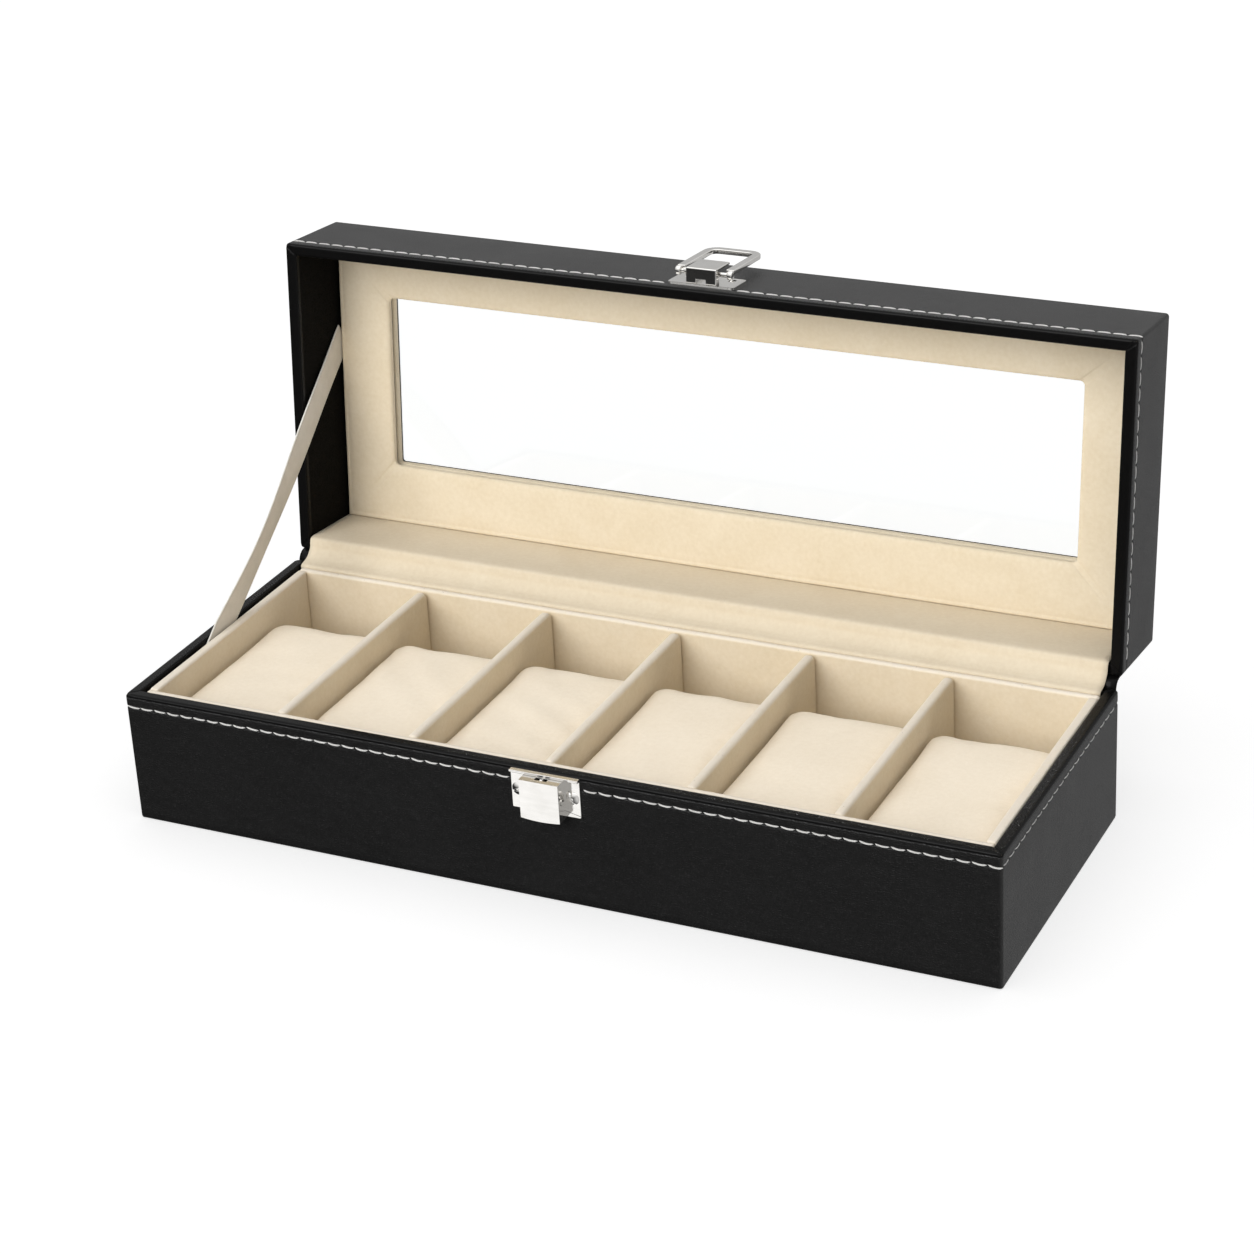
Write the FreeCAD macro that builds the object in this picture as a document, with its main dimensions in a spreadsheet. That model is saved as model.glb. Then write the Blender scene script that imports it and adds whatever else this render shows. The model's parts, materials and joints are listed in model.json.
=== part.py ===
"""Six-compartment watch box with a hinged window lid, modelled with the lid open.

The origin is the centre of the underside of the base. +X is to the right along
the front, +Y points to the hinge side and +Z is up. Lid pieces are drawn in the
lid's own frame, whose origin is the hinge axis and whose axes match the row's
when the lid is shut, and their Placement then swings them open.
"""
import FreeCAD, Part
import math
import os
import Sketcher

Vector = FreeCAD.Vector

doc = FreeCAD.newDocument("watch_box")
sizes = doc.addObject("Spreadsheet::Sheet", "sizes")

DRIVING_SIZES = {
    # overall
    "box_width": 300, "box_depth": 110, "base_height": 46, "lid_height": 34,
    "open_angle": 95.5, "hinge_offset": 2.6, "rim_gap": 0.2, "rear_drop": 0.8,
    # case walls: a board wrapped in leatherette on both faces
    "board": 3, "leather": 0.5, "corner_radius": 1.0, "floor_board": 3,
    "sheet": 0.5, "sheet_inset": 1.5,
    "stitch_inset": 4.5, "thread_height": 0.5, "thread_proud": 0.25, "thread_gap": 0.4,
    # velvet tray inside the base
    "floor_pad": 1.5, "long_liner": 2.4, "end_liner": 3.2, "liner_drop": 0.3,
    "ribbon_gap": 1.2, "tray_clearance": 0.2, "lining_gap": 1.0,
    "divider": 3.4, "divider_drop": 0.5, "velvet_edge": 1.1,
    # pillows
    "pillow_depth": 75, "pillow_height": 33, "pillow_side_gap": 0.4, "pillow_front_gap": 0.6,
    "pillow_corner": 9, "pillow_roll": 5,
    # window in the lid
    "window_width": 251, "window_depth": 61, "window_offset": 1.2, "frame_thickness": 2.4,
    "frame_gap": 1.0, "pane": 2, "pane_overlap": 6, "top_board": 3.1, "reveal": 0.8,
    # ribbon and hinge strips
    "ribbon_width": 10.5, "ribbon": 0.5, "ribbon_low_y": -2, "ribbon_high": 69, "ribbon_tail": 12, "ribbon_tip": 3,
    "lining": 0.6, "lining_clearance": 0.3, "lining_tuck": 10, "hinge_strip": 0.6,
    "hinge_flange": 11,
    # catch on the base and hasp on the lid; both sit a little to the right of the middle
    "hardware_x": 3,
    "catch_width": 23.6, "catch_height": 13.6, "catch_drop": 0.6, "plate": 0.8, "catch_lip": 1.2,
    "catch_corner": 0.5, "block_width": 13.4, "block_height": 13.2, "block_depth": 4.6,
    "block_wall": 0.8, "block_bulge": 0.5, "slot_width": 4.2,
    "slot_depth": 1.6, "nub_radius": 1.1, "nub_proud": 0.3, "clip": 0.4, "clip_gap": 0.3,
    # screws of the catch, rivets of the hasp
    "screw_spacing": 18.6, "screw_drop": 7.4, "screw_radius": 1.0, "screw_length": 3.2,
    "head_radius": 2.2, "head_height": 1.0, "hole_clearance": 0.1,
    "rivet_spacing": 15, "rivet_rise": 12.4, "rivet_radius": 0.9, "rivet_head": 1.6,
    # hasp on the lid
    "hasp_width": 23.4, "hasp_rise": 4.0, "hasp_height": 11, "bracket_width": 10.6,
    "bracket_reach": 11.4, "bracket_proud": 5.2, "bracket_sheet": 0.8, "notch_width": 3.2,
    "notch_height": 1.5, "lug_thickness": 0.8, "lug_spacing": 8.4, "lug_width": 2.2,
    "pin_rise": 7.5, "pin_proud": 3.9, "pin_radius": 0.7, "pin_clearance": 0.05,
    "ring_width": 20, "ring_arm": 2.8, "ring_bar": 3.0, "ring_reach": 26.4, "ring": 1.6,
    "ring_end_radius": 5, "ring_window_radius": 2.0, "ear_thickness": 1.8, "ear_radius": 1.5,
    "coil_radius": 1.2, "coil_bore": 0.8, "coil_length": 1.5, "coil_gap": 0.2,
}

COMPARTMENTS = 6


def fill_sheet():
    """Write every driving size as a plain number with its alias beside its name."""
    for row, (alias, value) in enumerate(DRIVING_SIZES.items(), start=1):
        sizes.set("A%d" % row, alias)
        sizes.set("B%d" % row, str(value))
        sizes.setAlias("B%d" % row, alias)
    doc.recompute()


def value(expression):
    """The number that an expression on the sheet comes to."""
    result = sizes.evalExpression(expression)
    return float(getattr(result, "Value", result))


fill_sheet()

# ---------------------------------------------------------------------------
# Expressions for the faces that pieces share
# ---------------------------------------------------------------------------
WALL = "(sizes.board + 2 * sizes.leather)"
HALF_WIDTH = "(sizes.box_width / 2)"
FRONT = "(-sizes.box_depth / 2)"
BACK = "(sizes.box_depth / 2)"
RIM = "sizes.base_height"
REAR_RIM = "(sizes.base_height - sizes.rear_drop)"
CASE_FLOOR = "(sizes.sheet + sizes.floor_board)"
TRAY_FLOOR = "(%s + sizes.floor_pad)" % CASE_FLOOR

TRAY_LEFT = "(-%s + %s + sizes.ribbon_gap)" % (HALF_WIDTH, WALL)
TRAY_RIGHT = "(%s - %s - sizes.tray_clearance)" % (HALF_WIDTH, WALL)
TRAY_FRONT = "(%s + %s + sizes.tray_clearance)" % (FRONT, WALL)
TRAY_BACK = "(%s - %s - sizes.lining_gap)" % (BACK, WALL)
LINER_TOP = "(%s - sizes.liner_drop)" % RIM
CELL_LEFT = "(%s + sizes.end_liner)" % TRAY_LEFT
CELL_RIGHT = "(%s - sizes.end_liner)" % TRAY_RIGHT
CELL_FRONT = "(%s + sizes.long_liner)" % TRAY_FRONT
CELL_BACK = "(%s - sizes.long_liner)" % TRAY_BACK
CELL_WIDTH = "((%s - %s - %d * sizes.divider) / %d)" % (
    CELL_RIGHT, CELL_LEFT, COMPARTMENTS - 1, COMPARTMENTS)

HINGE_Y = "(%s + sizes.hinge_offset)" % BACK
HINGE_Z = "(%s + sizes.rim_gap / 2)" % RIM

# The lid's own frame, measured from the hinge axis with the lid shut.
LID_FRONT = "(-sizes.hinge_offset - sizes.box_depth)"
LID_BACK = "(-sizes.hinge_offset)"
LID_RIM = "(sizes.rim_gap / 2)"
LID_REAR_RIM = "(sizes.rim_gap / 2 + sizes.rear_drop)"
LID_TOP = "(%s + sizes.lid_height)" % LID_RIM
TOP_BOARD_LOW = "(%s - sizes.leather - sizes.top_board)" % LID_TOP
PANE_LOW = "(%s - sizes.pane)" % TOP_BOARD_LOW
FRAME_LOW = "(%s - sizes.frame_thickness)" % PANE_LOW
WINDOW_Y = "(%s + sizes.box_depth / 2 - sizes.window_offset)" % LID_FRONT
PIN_Y = "(%s - sizes.pin_proud)" % LID_FRONT
PIN_Z = "(%s + sizes.pin_rise)" % LID_RIM
HASP_LOW = "(%s + sizes.hasp_rise)" % LID_RIM
BRACKET_OUTER_Y = "(%s - sizes.plate - sizes.bracket_proud)" % LID_FRONT

CATCH_TOP = "(%s - sizes.catch_drop)" % RIM
CATCH_FACE = "(%s - sizes.plate)" % FRONT
BLOCK_TOP = "(%s - sizes.plate)" % CATCH_TOP
SCREW_Z = "(%s - sizes.screw_drop)" % RIM

subparts = []


# ---------------------------------------------------------------------------
# Building blocks
# ---------------------------------------------------------------------------
def new_body(name):
    """A PartDesign body that becomes one sub-part."""
    body = doc.addObject("PartDesign::Body", name)
    body.Label = name
    subparts.append(body)
    return body


def new_feature(name, shape):
    """A sub-part whose shape is worked out from the sheet in code."""
    feature = doc.addObject("Part::Feature", name)
    feature.Label = name
    feature.Shape = shape
    subparts.append(feature)
    return feature


def swing_open(body):
    """Carry a piece of the lid from the lid's frame to its open pose."""
    body.Placement = FreeCAD.Placement(
        Vector(body.Placement.Base.x, value(HINGE_Y), value(HINGE_Z)),
        FreeCAD.Rotation(Vector(-1, 0, 0), value("sizes.open_angle")))
    body.setExpression("Placement.Base.y", HINGE_Y)
    body.setExpression("Placement.Base.z", HINGE_Z)
    body.setExpression("Placement.Rotation.Angle", "sizes.open_angle")


def move_to_hardware(body):
    """Carry a piece of the catch or the hasp, drawn about X = 0, to its place along X."""
    body.setExpression("Placement.Base.x", "sizes.hardware_x")
    doc.recompute()


def new_sketch(body, role, x="0", y="0", z="0"):
    """A sketch on one of the body's origin planes, moved in the plane's own axes."""
    sketch = body.newObject("Sketcher::SketchObject", body.Name + "_sketch")
    plane = [item for item in body.Origin.OriginFeatures if item.Role == role][0]
    sketch.AttachmentSupport = (plane, [""])
    sketch.MapMode = "FlatFace"
    for axis, expression in zip("xyz", (x, y, z)):
        sketch.setExpression("AttachmentOffset.Base." + axis, expression)
    return sketch


def bind(sketch, constraint, expression):
    """Add a dimension to a sketch and drive it from the sheet."""
    index = sketch.addConstraint(constraint)
    name = "size_%d" % index
    sketch.renameConstraint(index, name)
    sketch.setExpression("Constraints." + name, expression)


def draw_polygon(sketch, corners):
    """A closed outline with straight sides; each corner is a pair of expressions."""
    points = [Vector(value(x), value(y), 0) for x, y in corners]
    count = len(points)
    first = sketch.GeometryCount
    for index in range(count):
        line = Part.LineSegment(points[index], points[(index + 1) % count])
        sketch.addGeometry(line, False)
    for index in range(count):
        following = first + (index + 1) % count
        sketch.addConstraint(Sketcher.Constraint("Coincident", first + index, 2, following, 1))
    for index, (x, y) in enumerate(corners):
        at_x = Sketcher.Constraint("DistanceX", -1, 1, first + index, 1, points[index].x)
        at_y = Sketcher.Constraint("DistanceY", -1, 1, first + index, 1, points[index].y)
        bind(sketch, at_x, x)
        bind(sketch, at_y, y)


def draw_rectangle(sketch, x_low, y_low, x_high, y_high):
    """A rectangle between two opposite corners."""
    corners = [(x_low, y_low), (x_high, y_low), (x_high, y_high), (x_low, y_high)]
    draw_polygon(sketch, corners)


def draw_circle(sketch, x, y, radius):
    """A circle whose centre and radius are expressions."""
    centre = Vector(value(x), value(y), 0)
    index = sketch.addGeometry(Part.Circle(centre, Vector(0, 0, 1), value(radius)), False)
    bind(sketch, Sketcher.Constraint("Radius", index, value(radius)), radius)
    bind(sketch, Sketcher.Constraint("DistanceX", -1, 1, index, 3, centre.x), x)
    bind(sketch, Sketcher.Constraint("DistanceY", -1, 1, index, 3, centre.y), y)


def pad(body, sketch, length, reverse=False, symmetric=False):
    """Pad a sketch by a length, along its normal, against it, or both ways."""
    feature = body.newObject("PartDesign::Pad", body.Name + "_pad")
    feature.Profile = sketch
    feature.setExpression("Length", length)
    feature.Reversed = reverse
    if symmetric:
        feature.SideType = "Symmetric"
    sketch.Visibility = False
    doc.recompute()
    return feature


def pocket(body, sketch, depth, reverse=False, symmetric=False):
    """Cut a sketch to a depth and make sure that it removed material."""
    before = body.Shape.Volume
    feature = body.newObject("PartDesign::Pocket", body.Name + "_pocket")
    feature.Profile = sketch
    feature.setExpression("Length", depth)
    feature.Reversed = reverse
    if symmetric:
        feature.SideType = "Symmetric"
    doc.recompute()
    if body.Shape.Volume >= before - 1e-6:
        raise RuntimeError("a pocket of %s cut nothing" % body.Name)
    return feature


def fillet(body, radius, choose):
    """Round the edges of a body that a test on their bounding boxes picks."""
    tip = body.Tip
    names = ["Edge%d" % (index + 1) for index, edge in enumerate(tip.Shape.Edges)
             if choose(edge.BoundBox)]
    if not names:
        raise RuntimeError("no edge to round on %s" % body.Name)
    feature = body.newObject("PartDesign::Fillet", body.Name + "_fillet")
    feature.Base = (tip, names)
    feature.setExpression("Radius", radius)
    doc.recompute()
    return feature


def near(a, b, tolerance=0.01):
    """True when two lengths agree."""
    return abs(a - b) < tolerance


def upright(box):
    """True for the bounding box of an edge that runs along Z alone."""
    return box.XLength < 0.01 and box.YLength < 0.01


def slab(name, x, y, z):
    """A rectangular board between low and high expressions along X, Y and Z."""
    body = new_body(name)
    sketch = new_sketch(body, "XY_Plane", z=z[0])
    draw_rectangle(sketch, x[0], y[0], x[1], y[1])
    pad(body, sketch, "%s - %s" % (z[1], z[0]))
    return body


def soften_top(body, radius, along):
    """Round the two long top edges of a velvet board that runs along X or Y."""
    top = body.Tip.Shape.BoundBox.ZMax
    length = "XLength" if along == "X" else "YLength"
    full = getattr(body.Tip.Shape.BoundBox, length)
    fillet(body, radius, lambda box: near(box.ZMin, top) and near(getattr(box, length), full))


# ---------------------------------------------------------------------------
# Case: boards, leatherette covers and stitching
# ---------------------------------------------------------------------------
def case_walls(prefix, front, back, low, high, rear_low, rear_high, lid):
    """Four boards: the ends run the full depth and the long walls stand between them."""
    outer_x = "(%s - sizes.leather)" % HALF_WIDTH
    inner_x = "(%s - sizes.leather - sizes.board)" % HALF_WIDTH
    outer_front = "(%s + sizes.leather)" % front
    outer_back = "(%s - sizes.leather)" % back
    full_depth = (outer_front, outer_back)
    between = ("-" + inner_x, inner_x)
    walls = [
        slab(prefix + "_left_wall", ("-" + outer_x, "-" + inner_x), full_depth, (low, high)),
        slab(prefix + "_right_wall", (inner_x, outer_x), full_depth, (low, high)),
        slab(prefix + "_front_wall", between,
             (outer_front, "%s + sizes.board" % outer_front), (low, high)),
        slab(prefix + "_back_wall", between,
             ("%s - sizes.board" % outer_back, outer_back), (rear_low, rear_high)),
    ]
    if lid:
        for wall in walls:
            swing_open(wall)
    return walls


def bore_front(body, plane_y, x, z, radius, depth, centre="0"):
    """Drill two holes from a face that looks along -Y, at x each side of a centre."""
    sketch = new_sketch(body, "XZ_Plane", z="-1 * %s" % plane_y)
    for sign in ("-", "+"):
        draw_circle(sketch, "(%s %s %s)" % (centre, sign, x), z, radius)
    pocket(body, sketch, depth)


def base_cover():
    """Leatherette over both faces and the rim of the four base walls."""
    body = new_body("base_cover")
    sketch = new_sketch(body, "XY_Plane", z="sizes.sheet")
    draw_rectangle(sketch, "-" + HALF_WIDTH, FRONT, HALF_WIDTH, BACK)
    pad(body, sketch, "%s - sizes.sheet" % RIM)
    fillet(body, "sizes.corner_radius", upright)
    cover_openings(body, FRONT, BACK, "sizes.sheet", "%s - sizes.leather" % RIM,
                   "%s - sizes.leather" % REAR_RIM)
    lower_rear_rim(body, BACK, REAR_RIM, "sizes.rear_drop")
    bore_front(body, FRONT, "sizes.screw_spacing / 2", SCREW_Z,
               "sizes.screw_radius + sizes.hole_clearance", "sizes.leather",
               centre="sizes.hardware_x")
    return body


def cover_openings(body, front, back, low, slot_top, rear_slot_top):
    """Open the inside of a cover and the slot that each board fills."""
    inside = new_sketch(body, "XY_Plane", z=low)
    inner_x = "(%s - %s)" % (HALF_WIDTH, WALL)
    draw_rectangle(inside, "-" + inner_x, "%s + %s" % (front, WALL), inner_x,
                   "%s - %s" % (back, WALL))
    pocket(body, inside, "sizes.base_height + sizes.lid_height", reverse=True)
    outer_x = "(%s - sizes.leather)" % HALF_WIDTH
    board_x = "(%s - sizes.leather - sizes.board)" % HALF_WIDTH
    deep = "(%s - sizes.leather)" % back
    shallow = "(%s + sizes.leather)" % front
    slots = [
        ("-" + outer_x, shallow, "-" + board_x, deep, slot_top),
        (board_x, shallow, outer_x, deep, slot_top),
        ("-" + board_x, shallow, board_x, "%s + sizes.board" % shallow, slot_top),
        ("-" + board_x, "%s - sizes.board" % deep, board_x, deep, rear_slot_top),
    ]
    for x_low, y_low, x_high, y_high, top in slots:
        sketch = new_sketch(body, "XY_Plane", z=low)
        draw_rectangle(sketch, x_low, y_low, x_high, y_high)
        pocket(body, sketch, "%s - %s" % (top, low), reverse=True)


def lower_rear_rim(body, back, rear_rim, drop):
    """Drop the rear rim between the end walls, to leave room for the hinge fabric."""
    inner_x = "(%s - %s)" % (HALF_WIDTH, WALL)
    sketch = new_sketch(body, "XY_Plane", z=rear_rim)
    draw_rectangle(sketch, "-" + inner_x, "%s - %s" % (back, WALL), inner_x, back)
    pocket(body, sketch, drop, reverse=True)


def lid_cover():
    """Leatherette over the lid's walls, rim and top, open at the window."""
    body = new_body("lid_cover")
    sketch = new_sketch(body, "XY_Plane", z=LID_RIM)
    draw_rectangle(sketch, "-" + HALF_WIDTH, LID_FRONT, HALF_WIDTH, LID_BACK)
    pad(body, sketch, "sizes.lid_height")
    fillet(body, "sizes.corner_radius", upright)
    inner_x = "(%s - %s)" % (HALF_WIDTH, WALL)
    board_x = "(%s - sizes.leather - sizes.board)" % HALF_WIDTH
    outer_x = "(%s - sizes.leather)" % HALF_WIDTH
    inside = new_sketch(body, "XY_Plane", z=LID_RIM)
    draw_rectangle(inside, "-" + inner_x, "%s + %s" % (LID_FRONT, WALL), inner_x,
                   "%s - %s" % (LID_BACK, WALL))
    pocket(body, inside, "sizes.lid_height - sizes.leather", reverse=True)
    shallow = "(%s + sizes.leather)" % LID_FRONT
    deep = "(%s - sizes.leather)" % LID_BACK
    slots = [
        ("-" + outer_x, shallow, "-" + board_x, deep, LID_RIM),
        (board_x, shallow, outer_x, deep, LID_RIM),
        ("-" + board_x, shallow, board_x, "%s + sizes.board" % shallow, LID_RIM),
        ("-" + board_x, "%s - sizes.board" % deep, board_x, deep, LID_REAR_RIM),
    ]
    for x_low, y_low, x_high, y_high, rim in slots:
        slot = new_sketch(body, "XY_Plane", z="%s + sizes.leather" % rim)
        draw_rectangle(slot, x_low, y_low, x_high, y_high)
        pocket(body, slot, "%s - %s - 2 * sizes.leather" % (LID_TOP, rim), reverse=True)
    drop = new_sketch(body, "XY_Plane", z=LID_RIM)
    draw_rectangle(drop, "-" + inner_x, "%s - %s" % (LID_BACK, WALL), inner_x, LID_BACK)
    pocket(body, drop, "sizes.rear_drop", reverse=True)
    window = new_sketch(body, "XY_Plane", z="%s - sizes.leather" % LID_TOP)
    draw_window(window, "0")
    pocket(body, window, "sizes.leather", reverse=True)
    bore_front(body, LID_FRONT, "sizes.rivet_spacing / 2", "(%s + sizes.rivet_rise)" % LID_RIM,
               "sizes.rivet_radius + sizes.hole_clearance", "sizes.leather",
               centre="sizes.hardware_x")
    swing_open(body)
    return body


def draw_window(sketch, margin):
    """The window's outline, made larger all round by a margin."""
    half_x = "(sizes.window_width / 2 + %s)" % margin
    half_y = "(sizes.window_depth / 2 + %s)" % margin
    draw_rectangle(sketch, "-" + half_x, "%s - %s" % (WINDOW_Y, half_y), half_x,
                   "%s + %s" % (WINDOW_Y, half_y))


def stitching(name, front, back, z, lid):
    """A thread line round the front and both ends, left out under the hardware."""
    body = new_body(name)
    hardware = "sizes.hasp_width" if lid else "sizes.catch_width"
    gap_x = "(%s / 2 + sizes.thread_gap)" % hardware
    outside_x = "(%s + sizes.thread_proud)" % HALF_WIDTH
    outside_y = "(%s - sizes.thread_proud)" % front
    sketch = new_sketch(body, "XY_Plane", z="%s - sizes.thread_height / 2" % z)
    for sign, side in (("-", "-1 * "), ("+", "")):
        inner = "(sizes.hardware_x %s %s)" % (sign, gap_x)
        face = side + HALF_WIDTH
        outer = side + outside_x
        draw_polygon(sketch, [
            (inner, outside_y), (inner, front), (face, front), (face, back), (outer, back),
            (outer, outside_y)])
    pad(body, sketch, "sizes.thread_height")
    if lid:
        swing_open(body)
    return body


# ---------------------------------------------------------------------------
# Velvet tray and pillows
# ---------------------------------------------------------------------------
def tray():
    """Velvet-covered boards: floor pad, four liners and the dividers between cells."""
    slab("tray_floor_pad", (TRAY_LEFT, TRAY_RIGHT), (TRAY_FRONT, TRAY_BACK),
         (CASE_FLOOR, TRAY_FLOOR))
    height = (TRAY_FLOOR, LINER_TOP)
    long_span = (TRAY_LEFT, TRAY_RIGHT)
    front = slab("tray_front_liner", long_span, (TRAY_FRONT, CELL_FRONT), height)
    back = slab("tray_back_liner", long_span, (CELL_BACK, TRAY_BACK), height)
    deep_span = (CELL_FRONT, CELL_BACK)
    left = slab("tray_left_liner", (TRAY_LEFT, CELL_LEFT), deep_span, height)
    right = slab("tray_right_liner", (CELL_RIGHT, TRAY_RIGHT), deep_span, height)
    for body, along in ((front, "X"), (back, "X"), (left, "Y"), (right, "Y")):
        soften_top(body, "sizes.velvet_edge", along)
    for number in range(1, COMPARTMENTS):
        low = "(%s + %d * %s + %d * sizes.divider)" % (
            CELL_LEFT, number, CELL_WIDTH, number - 1)
        body = slab("divider_%d" % number, (low, "%s + sizes.divider" % low), deep_span,
                    (TRAY_FLOOR, "%s - sizes.divider_drop" % RIM))
        soften_top(body, "sizes.velvet_edge", "Y")


def pillow(number):
    """A cushion that fills its cell's width and leaves a space at the back."""
    low = "(%s + %d * (%s + sizes.divider) + sizes.pillow_side_gap)" % (
        CELL_LEFT, number - 1, CELL_WIDTH)
    front = "(%s + sizes.pillow_front_gap)" % CELL_FRONT
    body = slab("pillow_%d" % number,
                (low, "%s + %s - 2 * sizes.pillow_side_gap" % (low, CELL_WIDTH)),
                (front, "%s + sizes.pillow_depth" % front),
                (TRAY_FLOOR, "%s + sizes.pillow_height" % TRAY_FLOOR))
    fillet(body, "sizes.pillow_corner", upright)
    top = body.Tip.Shape.BoundBox.ZMax
    low_z = body.Tip.Shape.BoundBox.ZMin
    fillet(body, "sizes.pillow_roll",
           lambda box: box.ZLength < 0.01 and (near(box.ZMin, top) or near(box.ZMin, low_z)))
    return body


# ---------------------------------------------------------------------------
# Window in the lid
# ---------------------------------------------------------------------------
def window_parts():
    """Top board, pane, velvet frame and the cream reveal round the window."""
    inner_x = "(%s - %s)" % (HALF_WIDTH, WALL)
    inner_front = "(%s + %s)" % (LID_FRONT, WALL)
    inner_back = "(%s - %s)" % (LID_BACK, WALL)

    board = new_body("lid_top_board")
    sketch = new_sketch(board, "XY_Plane", z=TOP_BOARD_LOW)
    draw_rectangle(sketch, "-" + inner_x, inner_front, inner_x, inner_back)
    draw_window(sketch, "sizes.reveal")
    pad(board, sketch, "sizes.top_board")

    reveal = new_body("window_reveal")
    sketch = new_sketch(reveal, "XY_Plane", z=TOP_BOARD_LOW)
    draw_window(sketch, "sizes.reveal")
    draw_window(sketch, "0")
    pad(reveal, sketch, "sizes.top_board")

    pane = new_body("window_pane")
    sketch = new_sketch(pane, "XY_Plane", z=PANE_LOW)
    draw_window(sketch, "sizes.pane_overlap")
    pad(pane, sketch, "sizes.pane")

    frame = new_body("window_frame")
    sketch = new_sketch(frame, "XY_Plane", z=FRAME_LOW)
    gap = "sizes.frame_gap"
    draw_rectangle(sketch, "(-%s + %s)" % (inner_x, gap), "(%s + %s)" % (inner_front, gap),
                   "(%s - %s)" % (inner_x, gap), "(%s - %s - sizes.lining)" % (inner_back, gap))
    draw_window(sketch, "0")
    pad(frame, sketch, "sizes.frame_thickness")
    low = frame.Tip.Shape.BoundBox.ZMin
    fillet(frame, "sizes.velvet_edge", lambda box: box.ZLength < 0.01 and near(box.ZMin, low))

    for body in (board, reveal, pane, frame):
        swing_open(body)


# ---------------------------------------------------------------------------
# Catch on the base
# ---------------------------------------------------------------------------
def catch_plate():
    """Back plate with a lip along its top edge and rounded lower corners."""
    body = new_body("catch_plate")
    move_to_hardware(body)
    half = "(sizes.catch_width / 2)"
    low = "(%s - sizes.catch_height)" % CATCH_TOP
    sketch = new_sketch(body, "XZ_Plane", z="-1 * %s" % FRONT)
    draw_rectangle(sketch, "-" + half, low, half, CATCH_TOP)
    pad(body, sketch, "sizes.plate")
    bottom = value(low)
    fillet(body, "sizes.catch_corner",
           lambda box: box.XLength < 0.01 and box.ZLength < 0.01 and near(box.ZMin, bottom))
    lip = new_sketch(body, "XZ_Plane", z="-1 * %s" % CATCH_FACE)
    draw_rectangle(lip, "-" + half, "%s - sizes.plate" % CATCH_TOP, half, CATCH_TOP)
    pad(body, lip, "sizes.catch_lip")
    bore_front(body, CATCH_FACE, "sizes.screw_spacing / 2", SCREW_Z,
               "sizes.screw_radius + sizes.hole_clearance", "sizes.plate")
    return body


def catch_block():
    """Folded block that the ring passes over: front face, top with a slot, two cheeks."""
    body = new_body("catch_block")
    move_to_hardware(body)
    half = "(sizes.block_width / 2)"
    low = "(%s - sizes.block_height)" % BLOCK_TOP
    wall = "sizes.block_wall"
    sketch = new_sketch(body, "XZ_Plane", z="-1 * %s" % CATCH_FACE)
    draw_rectangle(sketch, "-" + half, low, half, BLOCK_TOP)
    pad(body, sketch, "sizes.block_depth")
    hollow = new_sketch(body, "XZ_Plane", z="-1 * %s" % CATCH_FACE)
    draw_rectangle(hollow, "(-%s + %s)" % (half, wall), "(%s + %s)" % (low, wall),
                   "(%s - %s)" % (half, wall), "(%s - 2 * %s)" % (BLOCK_TOP, wall))
    pocket(body, hollow, "sizes.block_depth - %s" % wall, reverse=True)
    slot = new_sketch(body, "XY_Plane", z=BLOCK_TOP)
    centre = "(%s - sizes.block_depth / 2)" % CATCH_FACE
    draw_rectangle(slot, "-sizes.slot_width / 2", "%s - sizes.slot_depth / 2" % centre,
                   "sizes.slot_width / 2", "%s + sizes.slot_depth / 2" % centre)
    pocket(body, slot, "2 * %s" % wall)
    cheek = new_sketch(body, "YZ_Plane")
    draw_circle(cheek, centre, "(%s - sizes.block_height / 2)" % BLOCK_TOP,
                "sizes.nub_radius + sizes.hole_clearance")
    pocket(body, cheek, "sizes.block_width + 2", symmetric=True)
    # The lower edge of the front face hangs down in a shallow curve.
    bulge = new_sketch(body, "XZ_Plane", z="-1 * (%s - sizes.block_depth + %s)" % (
        CATCH_FACE, wall))
    draw_bulge(bulge, half, low)
    pad(body, bulge, wall)
    return body


def draw_bulge(sketch, half, low):
    """A segment of a circle under a straight edge: its chord is the block's width."""
    half_chord = value(half)
    height = value("sizes.block_bulge")
    base = value(low)
    radius = (half_chord ** 2 + height ** 2) / (2 * height)
    centre = Vector(0, base - height + radius, 0)
    reach = math.asin(half_chord / radius)
    arc = Part.ArcOfCircle(Part.Circle(centre, Vector(0, 0, 1), radius),
                           -math.pi / 2 - reach, -math.pi / 2 + reach)
    chord = Part.LineSegment(Vector(half_chord, base, 0), Vector(-half_chord, base, 0))
    sketch.addGeometry([arc, chord], False)
    sketch.addConstraint(Sketcher.Constraint("Coincident", 0, 2, 1, 1))
    sketch.addConstraint(Sketcher.Constraint("Coincident", 1, 2, 0, 1))
    sketch.addConstraint(Sketcher.Constraint("Horizontal", 1))
    bind(sketch, Sketcher.Constraint("DistanceX", -1, 1, 1, 1, half_chord), half)
    bind(sketch, Sketcher.Constraint("DistanceX", 1, 2, 1, 1, 2 * half_chord), "2 * " + half)
    bind(sketch, Sketcher.Constraint("DistanceY", -1, 1, 1, 1, base), low)
    bind(sketch, Sketcher.Constraint("Radius", 0, radius),
         "(%s ^ 2 + sizes.block_bulge ^ 2) / (2 * sizes.block_bulge)" % half)


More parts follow.
